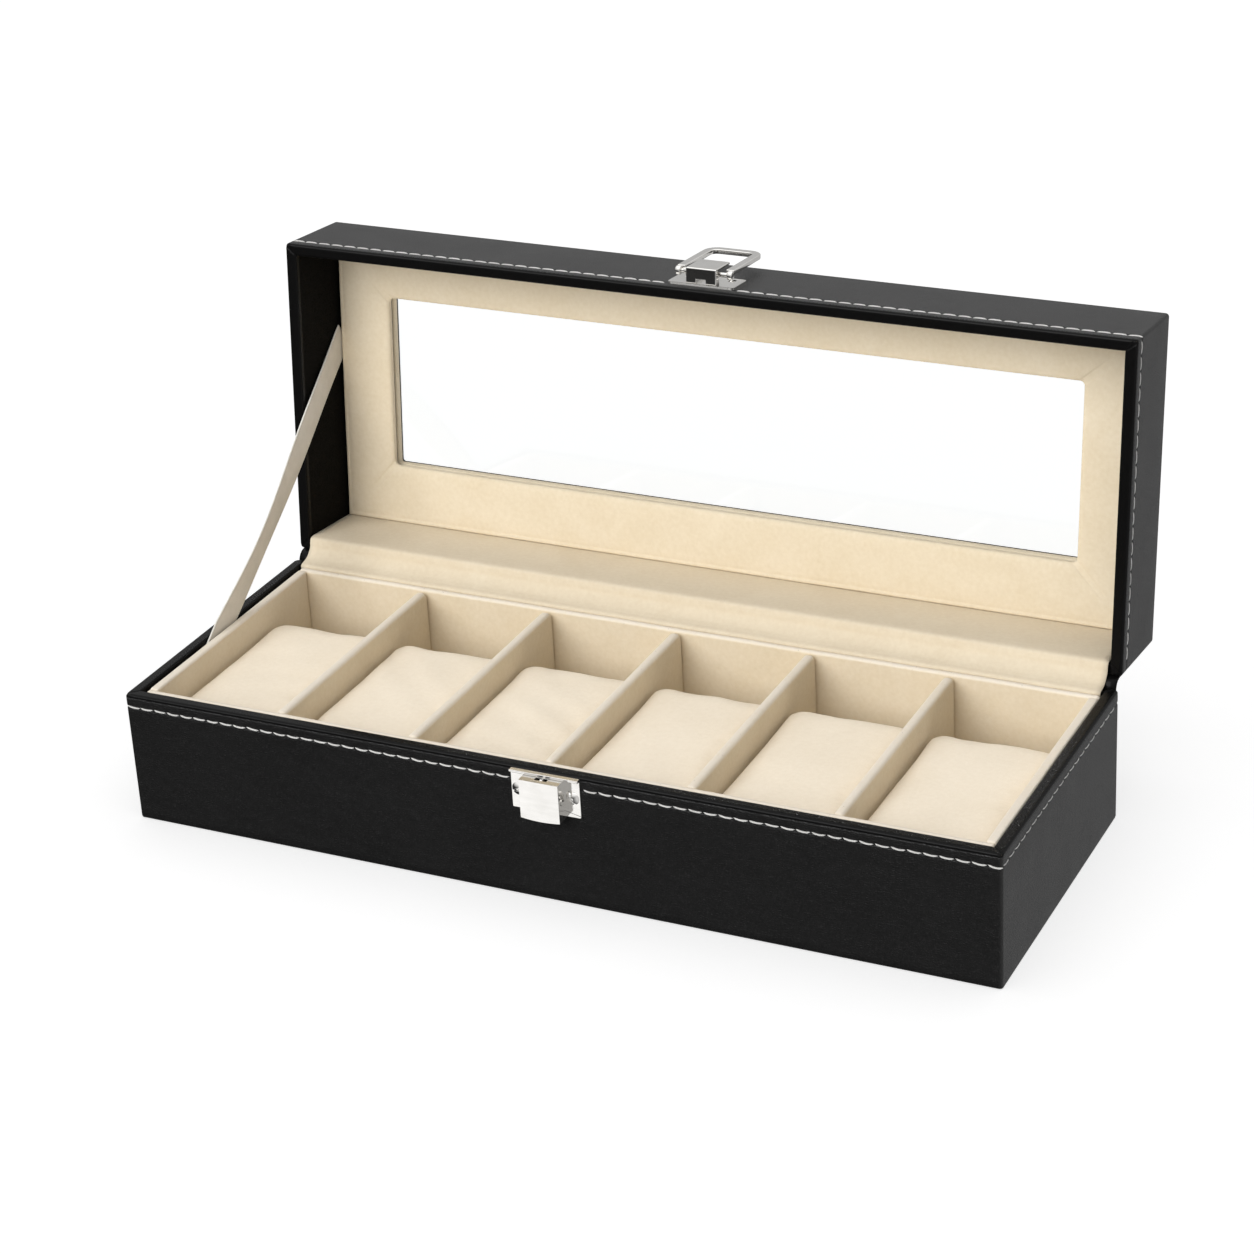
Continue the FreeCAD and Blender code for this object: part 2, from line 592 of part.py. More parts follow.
def catch_clip():
    """A bent leaf inside the block, whose two nubs stand out through the cheeks."""
    body = new_body("catch_clip")
    move_to_hardware(body)
    inside = "(sizes.block_width / 2 - sizes.block_wall - sizes.clip_gap)"
    middle = "(%s - sizes.block_height / 2)" % BLOCK_TOP
    reach = "(sizes.nub_radius + sizes.clip_gap)"
    depth = "(%s - sizes.block_depth / 2 + %s)" % (CATCH_FACE, reach)
    sketch = new_sketch(body, "XZ_Plane", z="-1 * %s" % depth)
    draw_polygon(sketch, [
        ("-" + inside, "%s - 2.5" % middle), (inside, "%s - 2.5" % middle),
        (inside, "%s + 2.5" % middle), ("%s - sizes.clip" % inside, "%s + 2.5" % middle),
        ("%s - sizes.clip" % inside, "%s - 2.5 + sizes.clip" % middle),
        ("-(%s - sizes.clip)" % inside, "%s - 2.5 + sizes.clip" % middle),
        ("-(%s - sizes.clip)" % inside, "%s + 2.5" % middle), ("-" + inside, "%s + 2.5" % middle)])
    pad(body, sketch, "2 * %s" % reach)
    for side, sign in (("left", "-1"), ("right", "1")):
        nub = new_sketch(body, "YZ_Plane", z="%s * %s" % (sign, inside))
        draw_circle(nub, "(%s - sizes.block_depth / 2)" % CATCH_FACE, middle, "sizes.nub_radius")
        pad(body, nub, "sizes.clip_gap + sizes.block_wall + sizes.nub_proud",
            reverse=side == "left")
    return body


def headed_pins(name, spacing, z, face, radius, length, head_radius, head_height, lid):
    """Two domed fasteners side by side, each a turned head on a shank, driven along +Y."""
    body = new_body(name)
    move_to_hardware(body)
    # Radial distance is the sketch's x, the way along the shank is its y.
    sketch = new_sketch(body, "XY_Plane", x="-%s / 2" % spacing, y=face, z=z)
    dome = value("(%s ^ 2 + %s ^ 2) / (2 * %s)" % (head_radius, head_height, head_height))
    rim = value(head_radius)
    height = value(head_height)
    shank = value(radius)
    tail = value(length)
    centre = Vector(0, dome - height, 0)
    arc = Part.ArcOfCircle(Part.Circle(centre, Vector(0, 0, 1), dome), -math.pi / 2,
                           -math.pi / 2 + math.asin(rim / dome))
    points = [Vector(rim, 0, 0), Vector(shank, 0, 0), Vector(shank, tail, 0),
              Vector(0, tail, 0), Vector(0, -height, 0)]
    lines = [Part.LineSegment(points[index], points[index + 1]) for index in range(4)]
    sketch.addGeometry([arc] + lines, False)
    for index in range(5):
        sketch.addConstraint(Sketcher.Constraint("Coincident", index, 2, (index + 1) % 5, 1))
    bind(sketch, Sketcher.Constraint("Radius", 0, dome),
         "(%s ^ 2 + %s ^ 2) / (2 * %s)" % (head_radius, head_height, head_height))
    sketch.addConstraint(Sketcher.Constraint("Horizontal", 1))
    sketch.addConstraint(Sketcher.Constraint("Vertical", 2))
    sketch.addConstraint(Sketcher.Constraint("Horizontal", 3))
    sketch.addConstraint(Sketcher.Constraint("PointOnObject", 4, 1, -2))
    sketch.addConstraint(Sketcher.Constraint("PointOnObject", 4, 2, -2))
    sketch.addConstraint(Sketcher.Constraint("PointOnObject", 1, 1, -1))
    bind(sketch, Sketcher.Constraint("DistanceX", -1, 1, 1, 1, rim), head_radius)
    bind(sketch, Sketcher.Constraint("DistanceX", -1, 1, 2, 1, shank), radius)
    bind(sketch, Sketcher.Constraint("DistanceY", -1, 1, 3, 1, tail), length)
    bind(sketch, Sketcher.Constraint("DistanceY", 4, 2, -1, 1, height), head_height)
    turned = body.newObject("PartDesign::Revolution", name + "_turned")
    turned.Profile = sketch
    turned.ReferenceAxis = (sketch, ["V_Axis"])
    turned.Angle = 360
    doc.recompute()
    pattern = body.newObject("PartDesign::LinearPattern", name + "_pair")
    pattern.Originals = [turned]
    axis = [item for item in body.Origin.OriginFeatures if item.Role == "X_Axis"][0]
    pattern.Direction = (axis, [""])
    pattern.Occurrences = 2
    pattern.setExpression("Length", spacing)
    body.Tip = pattern
    doc.recompute()
    if lid:
        swing_open(body)
    return body


# ---------------------------------------------------------------------------
# Hasp on the lid
# ---------------------------------------------------------------------------
def hasp_plate():
    """Plate with two lugs that hold the pivot pin."""
    body = new_body("hasp_plate")
    move_to_hardware(body)
    half = "(sizes.hasp_width / 2)"
    face = "(%s - sizes.plate)" % LID_FRONT
    sketch = new_sketch(body, "XZ_Plane", z="-1 * %s" % LID_FRONT)
    draw_rectangle(sketch, "-" + half, HASP_LOW, half, "%s + sizes.hasp_height" % HASP_LOW)
    pad(body, sketch, "sizes.plate")
    fillet(body, "sizes.velvet_edge", lambda box: box.XLength < 0.01 and box.ZLength < 0.01)
    for sign in ("-1", "1"):
        middle = "(%s * sizes.lug_spacing / 2)" % sign
        lug = new_sketch(body, "YZ_Plane", z="%s - sizes.lug_thickness / 2" % middle)
        low = "(%s - sizes.lug_width / 2)" % PIN_Z
        draw_rectangle(lug, "%s - sizes.lug_width / 2" % PIN_Y, low, face,
                       "%s + sizes.lug_width / 2" % PIN_Z)
        pad(body, lug, "sizes.lug_thickness")
    bore = new_sketch(body, "YZ_Plane")
    draw_circle(bore, PIN_Y, PIN_Z, "sizes.pin_radius")
    pocket(body, bore, "sizes.lug_spacing + 2 * sizes.lug_thickness", symmetric=True)
    bore_front(body, face, "sizes.rivet_spacing / 2", "(%s + sizes.rivet_rise)" % LID_RIM,
               "sizes.rivet_radius + sizes.hole_clearance", "sizes.plate")
    swing_open(body)
    return body


def hasp_bracket():
    """A strap folded over the pin: an end face with a notch, and a flap over the top."""
    body = new_body("hasp_bracket")
    move_to_hardware(body)
    face = "(%s - sizes.plate)" % LID_FRONT
    sheet = "sizes.bracket_sheet"
    end = "(%s + %s)" % (HASP_LOW, "sizes.plate / 2")
    tip = "(%s + sizes.bracket_reach)" % end
    inside = "(%s + %s)" % (BRACKET_OUTER_Y, sheet)
    profile = new_sketch(body, "YZ_Plane")
    draw_polygon(profile, [
        (face, end), (face, "%s + %s" % (end, sheet)),
        (inside, "%s + %s" % (end, sheet)), (inside, tip), (BRACKET_OUTER_Y, tip),
        (BRACKET_OUTER_Y, end)])
    pad(body, profile, "sizes.bracket_width", symmetric=True)
    notch = new_sketch(body, "XY_Plane", z=end)
    draw_rectangle(notch, "-sizes.notch_width / 2", "%s - sizes.notch_height" % face,
                   "sizes.notch_width / 2", face)
    pocket(body, notch, sheet, reverse=True)
    outer = value(BRACKET_OUTER_Y)
    foot = value(end)
    fillet(body, "%s / 2" % sheet,
           lambda box: box.XLength > 5 and near(box.YMin, outer) and near(box.ZMin, foot))
    swing_open(body)
    return body


def hasp_ring():
    """Flip ring: two arms with ears on the pin, joined by a bar with rounded corners."""
    body = new_body("hasp_ring")
    move_to_hardware(body)
    half = "(sizes.ring_width / 2)"
    window = "(sizes.ring_width / 2 - sizes.ring_arm)"
    near_end = "(%s - sizes.ear_radius)" % PIN_Z
    far_end = "(%s + sizes.ring_reach)" % PIN_Z
    bar = "(%s - sizes.ring_bar)" % far_end
    sketch = new_sketch(body, "XZ_Plane", z="-1 * %s" % PIN_Y)
    draw_polygon(sketch, [
        ("-" + half, near_end), ("-" + window, near_end), ("-" + window, bar), (window, bar),
        (window, near_end), (half, near_end), (half, far_end), ("-" + half, far_end)])
    pad(body, sketch, "sizes.ring")
    far = value(far_end)
    inner = value(bar)
    across = lambda box: box.XLength < 0.01 and box.ZLength < 0.01
    fillet(body, "sizes.ring_end_radius", lambda box: across(box) and near(box.ZMin, far))
    fillet(body, "sizes.ring_window_radius", lambda box: across(box) and near(box.ZMin, inner))
    for side, start in (("left", "-" + half), ("right", "(%s - sizes.ear_thickness)" % half)):
        ear = new_sketch(body, "YZ_Plane", z=start)
        draw_circle(ear, PIN_Y, PIN_Z, "sizes.ear_radius")
        pad(body, ear, "sizes.ear_thickness")
    bore = new_sketch(body, "YZ_Plane")
    draw_circle(bore, PIN_Y, PIN_Z, "sizes.pin_radius + sizes.pin_clearance")
    pocket(body, bore, "sizes.ring_width + 2", symmetric=True)
    swing_open(body)
    return body


def hasp_pin_and_coil():
    """The pivot pin through lugs and ears, and the coil of the return spring on it."""
    pin = new_body("hasp_pin")
    sketch = new_sketch(pin, "YZ_Plane")
    draw_circle(sketch, PIN_Y, PIN_Z, "sizes.pin_radius")
    pad(pin, sketch, "sizes.ring_width", symmetric=True)
    coil = new_body("hasp_spring")
    start = "(-sizes.bracket_width / 2 - sizes.coil_gap)"
    sketch = new_sketch(coil, "YZ_Plane", z=start)
    draw_circle(sketch, PIN_Y, PIN_Z, "sizes.coil_radius")
    draw_circle(sketch, PIN_Y, PIN_Z, "sizes.coil_bore")
    pad(coil, sketch, "sizes.coil_length", reverse=True)
    for body in (pin, coil):
        move_to_hardware(body)
        swing_open(body)


# ---------------------------------------------------------------------------
# Pieces that cross the hinge, in the open pose
# ---------------------------------------------------------------------------
def opened(y, z):
    """A point of the lid's frame, as (y, z) of the row with the lid open."""
    angle = math.radians(value("sizes.open_angle"))
    return (value(HINGE_Y) + y * math.cos(angle) + z * math.sin(angle),
            value(HINGE_Z) - y * math.sin(angle) + z * math.cos(angle))


def strip(name, path, thickness, half_length):
    """A sheet of constant thickness that follows a path in Y and Z along the box."""
    left, right = [], []
    for index, (y, z) in enumerate(path):
        before = path[max(index - 1, 0)]
        after = path[min(index + 1, len(path) - 1)]
        incoming = Vector(y - before[0], z - before[1], 0)
        outgoing = Vector(after[0] - y, after[1] - z, 0)
        incoming = incoming.normalize() if incoming.Length else outgoing.normalize()
        outgoing = outgoing.normalize() if outgoing.Length else incoming
        bisector = (incoming + outgoing).normalize()
        normal = Vector(-bisector.y, bisector.x, 0)
        reach = thickness / 2 / max(normal.dot(Vector(-incoming.y, incoming.x, 0)), 0.5)
        left.append(Vector(-half_length, y + normal.x * reach, z + normal.y * reach))
        right.append(Vector(-half_length, y - normal.x * reach, z - normal.y * reach))
    outline = left + right[::-1]
    face = Part.Face(Part.makePolygon(outline + [outline[0]]))
    return new_feature(name, face.extrude(Vector(2 * half_length, 0, 0)))


def hinge_lining():
    """Velvet from the lid's hinge wall, over the joint, to behind the tray's back liner."""
    clear = value("sizes.lining_clearance") + value("sizes.lining") / 2
    wall = value(WALL)
    inner_wall = -value("sizes.hinge_offset") - wall
    rear_rim = value(REAR_RIM)
    tucked_y = value(BACK) - wall - value("sizes.lining_gap") / 2
    tucked_z = value(LINER_TOP) - value("sizes.lining_tuck")
    path = [
        opened(inner_wall - clear, value(FRAME_LOW) - value("sizes.lining_clearance")),
        opened(inner_wall - clear, value(LID_RIM) - clear),
        opened(inner_wall + wall / 2, value(LID_RIM) - 2 * clear),
        (value(BACK) - clear, rear_rim + 4 * clear),
        (value(BACK) - wall + clear, rear_rim + 2 * clear),
        (tucked_y, rear_rim + clear),
        (tucked_y, tucked_z),
    ]
    half_length = value(HALF_WIDTH) - wall - value("sizes.frame_gap")
    return strip("hinge_lining", path, value("sizes.lining"), half_length)


def hinge_leather():
    """Leatherette strip down the base's back, round the joint and along the lid's back."""
    half = value("sizes.hinge_strip") / 2
    outside = value(BACK) + half
    flange = value("sizes.hinge_flange")
    lid_face = -value("sizes.hinge_offset") + half + value("sizes.lining_clearance")
    rim = value("sizes.base_height")
    offset = value("sizes.hinge_offset")
    path = [
        (outside, rim - flange),
        (outside, rim - 2 * half),
        (outside + offset / 3, rim + offset / 3),
        opened(lid_face, offset / 2),
        opened(lid_face, flange),
    ]
    half_length = value(HALF_WIDTH) - value("sizes.corner_radius")
    return strip("hinge_leather", path, value("sizes.hinge_strip"), half_length)


def stay_ribbon():
    """Flat ribbon from beside the left liner to behind the window frame's left edge."""
    body = new_body("stay_ribbon")
    angle = "(sizes.open_angle * 1 deg)"
    lid_y = "(-sizes.hinge_offset - sizes.ribbon_high)"
    top_y = "(%s + %s * cos(%s) + %s * sin(%s))" % (HINGE_Y, lid_y, angle, FRAME_LOW, angle)
    top_z = "(%s - %s * sin(%s) + %s * cos(%s))" % (HINGE_Z, lid_y, angle, FRAME_LOW, angle)
    x_low = "(-%s + %s + (sizes.ribbon_gap - sizes.ribbon) / 2)" % (HALF_WIDTH, WALL)
    foot = Vector(value("sizes.ribbon_low_y"), value(LINER_TOP), 0)
    head = Vector(value(top_y), value(top_z), 0)
    along = (head - foot).normalize()
    side = Vector(-along.y, along.x, 0) * value("sizes.ribbon_width / 2")
    tail = value("sizes.ribbon_tail")
    tip = value("sizes.ribbon_tip")
    tilt = math.radians(180 - value("sizes.open_angle"))
    away = Vector(math.sin(tilt), -math.cos(tilt), 0)
    corners = []
    for edge in (side * -1, side):
        start = foot + edge
        low = start - along * ((tail + start.y - foot.y) / along.y)
        high = start + along * ((head + away * tip - start).dot(away) / along.dot(away))
        corners += [low, high] if not corners else [high, low]
    sketch = new_sketch(body, "YZ_Plane", z=x_low)
    for index in range(4):
        sketch.addGeometry(Part.LineSegment(corners[index], corners[(index + 1) % 4]), False)
    centre = sketch.addGeometry(Part.LineSegment(foot, head), True)
    for index in range(4):
        sketch.addConstraint(Sketcher.Constraint("Coincident", index, 2, (index + 1) % 4, 1))
    sketch.addConstraint(Sketcher.Constraint("Parallel", 0, centre))
    sketch.addConstraint(Sketcher.Constraint("Parallel", 2, centre))
    # The lower end is cut level and the upper end is cut along the lid's own plane.
    sketch.addConstraint(Sketcher.Constraint("Horizontal", 3))
    bind(sketch, Sketcher.Constraint("Angle", 1, tilt), "(180 - sizes.open_angle) * 1 deg")
    bind(sketch, Sketcher.Constraint("DistanceX", -1, 1, centre, 1, foot.x), "sizes.ribbon_low_y")
    bind(sketch, Sketcher.Constraint("DistanceY", -1, 1, centre, 1, foot.y), LINER_TOP)
    bind(sketch, Sketcher.Constraint("DistanceX", -1, 1, centre, 2, head.x), top_y)
    bind(sketch, Sketcher.Constraint("DistanceY", -1, 1, centre, 2, head.y), top_z)
    half = value("sizes.ribbon_width / 2")
    for edge in (0, 2):
        bind(sketch, Sketcher.Constraint("Distance", centre, 1, edge, half),
             "sizes.ribbon_width / 2")
    bind(sketch, Sketcher.Constraint("Distance", centre, 2, 1, tip), "sizes.ribbon_tip")
    bind(sketch, Sketcher.Constraint("Distance", centre, 1, 3, tail), "sizes.ribbon_tail")
    pad(body, sketch, "sizes.ribbon")
    return body


# ---------------------------------------------------------------------------
# The whole box
# ---------------------------------------------------------------------------
def build_base():
    """Case, tray, pillows and catch."""
    inset_x = "(%s - sizes.sheet_inset)" % HALF_WIDTH
    slab("underside_sheet", ("-" + inset_x, inset_x),
         ("%s + sizes.sheet_inset" % FRONT, "%s - sizes.sheet_inset" % BACK),
         ("0", "sizes.sheet"))
    inner_x = "(%s - %s)" % (HALF_WIDTH, WALL)
    slab("base_floor", ("-" + inner_x, inner_x),
         ("%s + %s" % (FRONT, WALL), "%s - %s" % (BACK, WALL)), ("sizes.sheet", CASE_FLOOR))
    walls = case_walls("base", FRONT, BACK, "sizes.sheet", "(%s - sizes.leather)" % RIM,
                       "sizes.sheet", "(%s - sizes.leather)" % REAR_RIM, lid=False)
    bore_front(walls[2], "(%s + sizes.leather)" % FRONT, "sizes.screw_spacing / 2", SCREW_Z,
               "sizes.screw_radius + sizes.hole_clearance", "sizes.board",
               centre="sizes.hardware_x")
    base_cover()
    stitching("base_stitching", FRONT, BACK, "(%s - sizes.stitch_inset)" % RIM, lid=False)
    tray()
    for number in range(1, COMPARTMENTS + 1):
        pillow(number)
    catch_plate()
    catch_block()
    catch_clip()
    headed_pins("catch_screws", "sizes.screw_spacing", SCREW_Z, CATCH_FACE,
                "sizes.screw_radius", "sizes.screw_length", "sizes.head_radius",
                "sizes.head_height", lid=False)


def build_lid():
    """Lid case, window and hasp."""
    high = "(%s - sizes.leather)" % LID_TOP
    walls = case_walls("lid", LID_FRONT, LID_BACK, "(%s + sizes.leather)" % LID_RIM, high,
                       "(%s + sizes.leather)" % LID_REAR_RIM, high, lid=True)
    rivet_z = "(%s + sizes.rivet_rise)" % LID_RIM
    bore_front(walls[2], "(%s + sizes.leather)" % LID_FRONT, "sizes.rivet_spacing / 2", rivet_z,
               "sizes.rivet_radius + sizes.hole_clearance", "sizes.board",
               centre="sizes.hardware_x")
    lid_cover()
    stitching("lid_stitching", LID_FRONT, LID_BACK, "(%s + sizes.stitch_inset)" % LID_RIM,
              lid=True)
    window_parts()
    hasp_plate()
    hasp_bracket()
    hasp_ring()
    hasp_pin_and_coil()
    headed_pins("hasp_rivets", "sizes.rivet_spacing", rivet_z,
                "(%s - sizes.plate)" % LID_FRONT, "sizes.rivet_radius", "sizes.screw_length",
                "sizes.rivet_head", "sizes.head_height / 2", lid=True)


def check_document():
    """Stop if any object failed, or any sub-part is empty or not valid."""
    for item in doc.Objects:
        if "Invalid" in item.State or "Error" in item.State:
            raise RuntimeError("%s failed: %s" % (item.Name, item.State))
    for part in subparts:
        shape = part.Shape
        if shape.isNull() or not shape.isValid() or not shape.Solids:
            raise RuntimeError("%s has no valid solid" % part.Label)


def write_parts():
    """Write each sub-part to its own STEP file."""
    os.makedirs("parts", exist_ok=True)
    for part in subparts:
        part.Shape.exportStep("parts/%s.step" % part.Label)
    print("wrote %d sub-parts" % len(subparts))


build_base()
build_lid()
hinge_leather()
hinge_lining()
stay_ribbon()
doc.recompute()
check_document()
write_parts()
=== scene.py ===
"""The watch box: leather, velvet, ribbon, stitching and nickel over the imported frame.

Shapes are worked out in millimetres and put into their meshes in metres. Pieces of
the lid are worked out in the lid's own frame (origin on the hinge axis, lid shut)
and then turned to the open pose.
"""

import json
import math

import bmesh
import bpy
import numpy as np
from mathutils import Matrix, Vector


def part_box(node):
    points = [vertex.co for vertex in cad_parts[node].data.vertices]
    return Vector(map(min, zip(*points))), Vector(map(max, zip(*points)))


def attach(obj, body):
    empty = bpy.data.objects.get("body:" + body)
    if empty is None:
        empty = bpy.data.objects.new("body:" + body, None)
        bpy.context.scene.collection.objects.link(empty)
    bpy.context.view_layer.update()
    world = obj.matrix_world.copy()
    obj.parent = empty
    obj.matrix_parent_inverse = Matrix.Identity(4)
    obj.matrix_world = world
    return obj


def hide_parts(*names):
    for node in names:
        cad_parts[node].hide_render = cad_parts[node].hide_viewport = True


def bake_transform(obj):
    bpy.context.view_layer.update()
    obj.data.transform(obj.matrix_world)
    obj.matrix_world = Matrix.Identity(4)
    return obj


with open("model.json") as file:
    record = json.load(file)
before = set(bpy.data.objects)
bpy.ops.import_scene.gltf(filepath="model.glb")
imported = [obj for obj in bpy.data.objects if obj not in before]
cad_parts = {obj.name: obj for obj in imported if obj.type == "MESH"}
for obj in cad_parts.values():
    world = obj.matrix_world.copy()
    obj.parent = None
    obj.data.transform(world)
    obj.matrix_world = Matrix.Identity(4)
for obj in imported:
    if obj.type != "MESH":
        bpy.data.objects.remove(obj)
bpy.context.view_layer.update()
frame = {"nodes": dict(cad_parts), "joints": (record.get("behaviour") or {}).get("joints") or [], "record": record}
nodes = frame["nodes"]

MM = 0.001
HINGE = next(joint for joint in frame["joints"] if joint["name"] == "lid_hinge")
OPEN_ANGLE = math.radians(-HINGE["range_deg"][0])
HINGE_Y, HINGE_Z = HINGE["pos_m"][1] / MM, HINGE["pos_m"][2] / MM

# Sizes in millimetres
HALF_X, HALF_Y, BASE_TOP = 150.0, 55.0, 46.0
WALL, REAR_DROP = 4.0, 0.8
LID_MID_Y, LID_RIM, LID_TOP, LID_REAR_RIM = -57.6, 0.1, 34.1, 0.9
WINDOW_MID_Y, WINDOW_HALF_X, WINDOW_HALF_Y = -58.8, 125.5, 30.5
FRAME_LOW, PANE_LOW = 26.1, 28.5
HARDWARE_X, PIN_Y, PIN_Z = 3.0, -116.5, 7.6
STITCH_INSET, STITCH_PITCH, STITCH_LENGTH = 4.5, 5.0, 4.65


# ---- Mesh making ----
def smooth_step(x):
    """Rises from 0 to 1 as x goes from 0 to 1: three x squared less two x cubed."""
    x = np.clip(x, 0.0, 1.0)
    return x * x * (3.0 - 2.0 * x)


def to_open_lid(points):
    """Points of the lid's own frame turned about the hinge axis to the open pose."""
    x, y, z = np.moveaxis(np.asarray(points, float), -1, 0)
    cos, sin = math.cos(OPEN_ANGLE), math.sin(OPEN_ANGLE)
    return np.stack([x, HINGE_Y + y * cos + z * sin, HINGE_Z - y * sin + z * cos], axis=-1)


def grid_faces(rows, columns, close_columns=False):
    """Quads between neighbours of a rows by columns grid, wrapped round where closed."""
    r, c = np.meshgrid(np.arange(rows - 1), np.arange(columns if close_columns else columns - 1),
                       indexing="ij")
    after = (c + 1) % columns
    corners = (r * columns + c, r * columns + after, (r + 1) * columns + after,
               (r + 1) * columns + c)
    return np.stack([corner.ravel() for corner in corners], axis=1)


def capped_faces(rows, columns):
    """The quads of a grid closed round its columns, and one face over each end row."""
    faces = grid_faces(rows, columns, close_columns=True).tolist()
    return faces + [list(range(columns)), list(range((rows - 1) * columns, rows * columns))]


def put(name, data):
    """A new object in the scene for a mesh, lamp or camera."""
    item = bpy.data.objects.new(name, data)
    bpy.context.scene.collection.objects.link(item)
    return item


def make_piece(name, points, faces, material, body=None, values=None, uv=None, merge=True):
    """A mesh object from points in millimetres; faces are turned to point outwards."""
    points = np.asarray(points, float).reshape(-1, 3)
    mesh = bpy.data.meshes.new(name)
    mesh.from_pydata((points * MM).tolist(), [], [list(map(int, face)) for face in faces])
    for key, data in (values or {}).items():
        attribute = mesh.attributes.new(key, "FLOAT", "POINT")
        attribute.data.foreach_set("value", np.asarray(data, np.float32).ravel())
    if uv is not None:
        layer = mesh.uv_layers.new(name="UVMap")
        loops = np.zeros(len(mesh.loops), np.int32)
        mesh.loops.foreach_get("vertex_index", loops)
        layer.data.foreach_set("uv", np.asarray(uv, np.float32).reshape(-1, 2)[loops].ravel())
    work = bmesh.new()
    work.from_mesh(mesh)
    if merge:
        bmesh.ops.remove_doubles(work, verts=work.verts, dist=2e-6)
    bmesh.ops.recalc_face_normals(work, faces=work.faces)
    work.to_mesh(mesh)
    work.free()
    piece = put(name, mesh)
    mesh.materials.append(material)
    sides = np.zeros(len(mesh.polygons), np.int32)
    mesh.polygons.foreach_get("loop_total", sides)
    mesh.polygons.foreach_set("use_smooth", sides <= 4)
    if body:
        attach(piece, body)
    return piece


def stand_in(piece, node):
    """Hides the node that a piece replaces."""
    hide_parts(node)
    return piece


def solidify(piece, thickness):
    """Gives an open surface its thickness in millimetres, half to each side."""
    wall = piece.modifiers.new("thickness", "SOLIDIFY")
    wall.thickness = thickness * MM
    wall.offset = 0.0


CORNER_STEPS = 6
NEAR_CORNER = np.array([0.0, 0.12, 0.25, 0.4, 0.6, 0.9, 1.4, 2.4, 4.5])
MIDDLE_STEPS = 26


def frame_loft(stations):
    """A profile carried round a rectangle: one rounded rectangle per profile point.

    A station is (half width in x, low y, high y, z, corner radius). Each side is a
    straight run, sampled more closely near its ends, and each corner a quarter circle.
    Returns a stations by path grid, and each point's distance to the nearest corner.
    """
    half_x, y_low, y_high, z, radius = (column[:, None] for column in np.array(stations).T)
    half_y = (y_high - y_low) / 2
    angle = np.linspace(0.0, math.pi / 2, CORNER_STEPS + 1)[1:-1]
    share = np.linspace(0.0, 1.0, MIDDLE_STEPS + 2)[1:-1]
    sides, ends = [], []
    for turn, (along, across) in enumerate(((half_y, half_x), (half_x, half_y)) * 2):
        straight = 2 * (along - radius)
        near = NEAR_CORNER * np.minimum(1.0, straight / (2.2 * NEAR_CORNER[-1]))
        inner = near[:, -1:] + (straight - 2 * near[:, -1:]) * share
        run = np.hstack([near, inner, straight - near[:, ::-1]])
        u = np.hstack([run - along + radius, along - radius + radius * np.sin(angle)])
        v = np.hstack([across + 0 * run, across - radius + radius * np.cos(angle)])
        sides.append(((v, u), (-u, v), (-v, -u), (u, -v))[turn])
        ends.append(np.hstack([np.minimum(run, straight - run), 0 * radius * angle]))
    x, y = (np.hstack(part) for part in zip(*sides))
    return np.stack([x, y + (y_low + y_high) / 2, z + 0 * x], axis=-1), np.hstack(ends)


def catmull(points, steps):
    """A smooth curve through points: cubic pieces whose slopes match at each point."""
    points = np.asarray(points, float)
    padded = np.vstack([2 * points[0] - points[1], points, 2 * points[-1] - points[-2]])
    t = np.linspace(0, 1, steps, endpoint=False)[None, :, None]
    a, b, c, d = (padded[i:len(padded) - 3 + i][:, None, :] for i in range(4))
    curve = 0.5 * (2 * b + (c - a) * t + (2 * a - 5 * b + 4 * c - d) * t ** 2
                   + (3 * b - 3 * c + d - a) * t ** 3)
    return np.vstack([curve.reshape(-1, points.shape[1]), points[-1:]])


def tube(path, reference, radius, around):
    """A round bar along a path, closed at both ends.

    Each ring lies across the path's slope. Its first axis is the part of the reference
    direction that is square to the slope, and its radius may vary along the path.
    """
    path = np.asarray(path, float)
    slope = np.gradient(path, axis=0)
    slope /= np.linalg.norm(slope, axis=1, keepdims=True)
    reference = np.broadcast_to(np.asarray(reference, float), path.shape)
    first = reference - np.sum(reference * slope, axis=1, keepdims=True) * slope
    first /= np.linalg.norm(first, axis=1, keepdims=True)
    second = np.cross(slope, first)
    angle = np.linspace(0, 2 * math.pi, around, endpoint=False)
    radius = np.broadcast_to(np.asarray(radius, float), (len(path),))
    ring = (np.cos(angle)[None, :, None] * first[:, None, :]
            + np.sin(angle)[None, :, None] * second[:, None, :])
    points = path[:, None, :] + radius[:, None, None] * ring
    return points.reshape(-1, 3), capped_faces(len(path), around)


def turned_shape(profile, around):
    """A profile of (radius, height) pairs turned once round the height axis."""
    profile = np.asarray(profile, float)
    angle = np.linspace(0, 2 * math.pi, around, endpoint=False)
    points = np.stack([
        profile[:, :1] * np.cos(angle), profile[:, :1] * np.sin(angle),
        np.broadcast_to(profile[:, 1:], (len(profile), around))], axis=-1)
    return points, grid_faces(len(profile), around, close_columns=True)


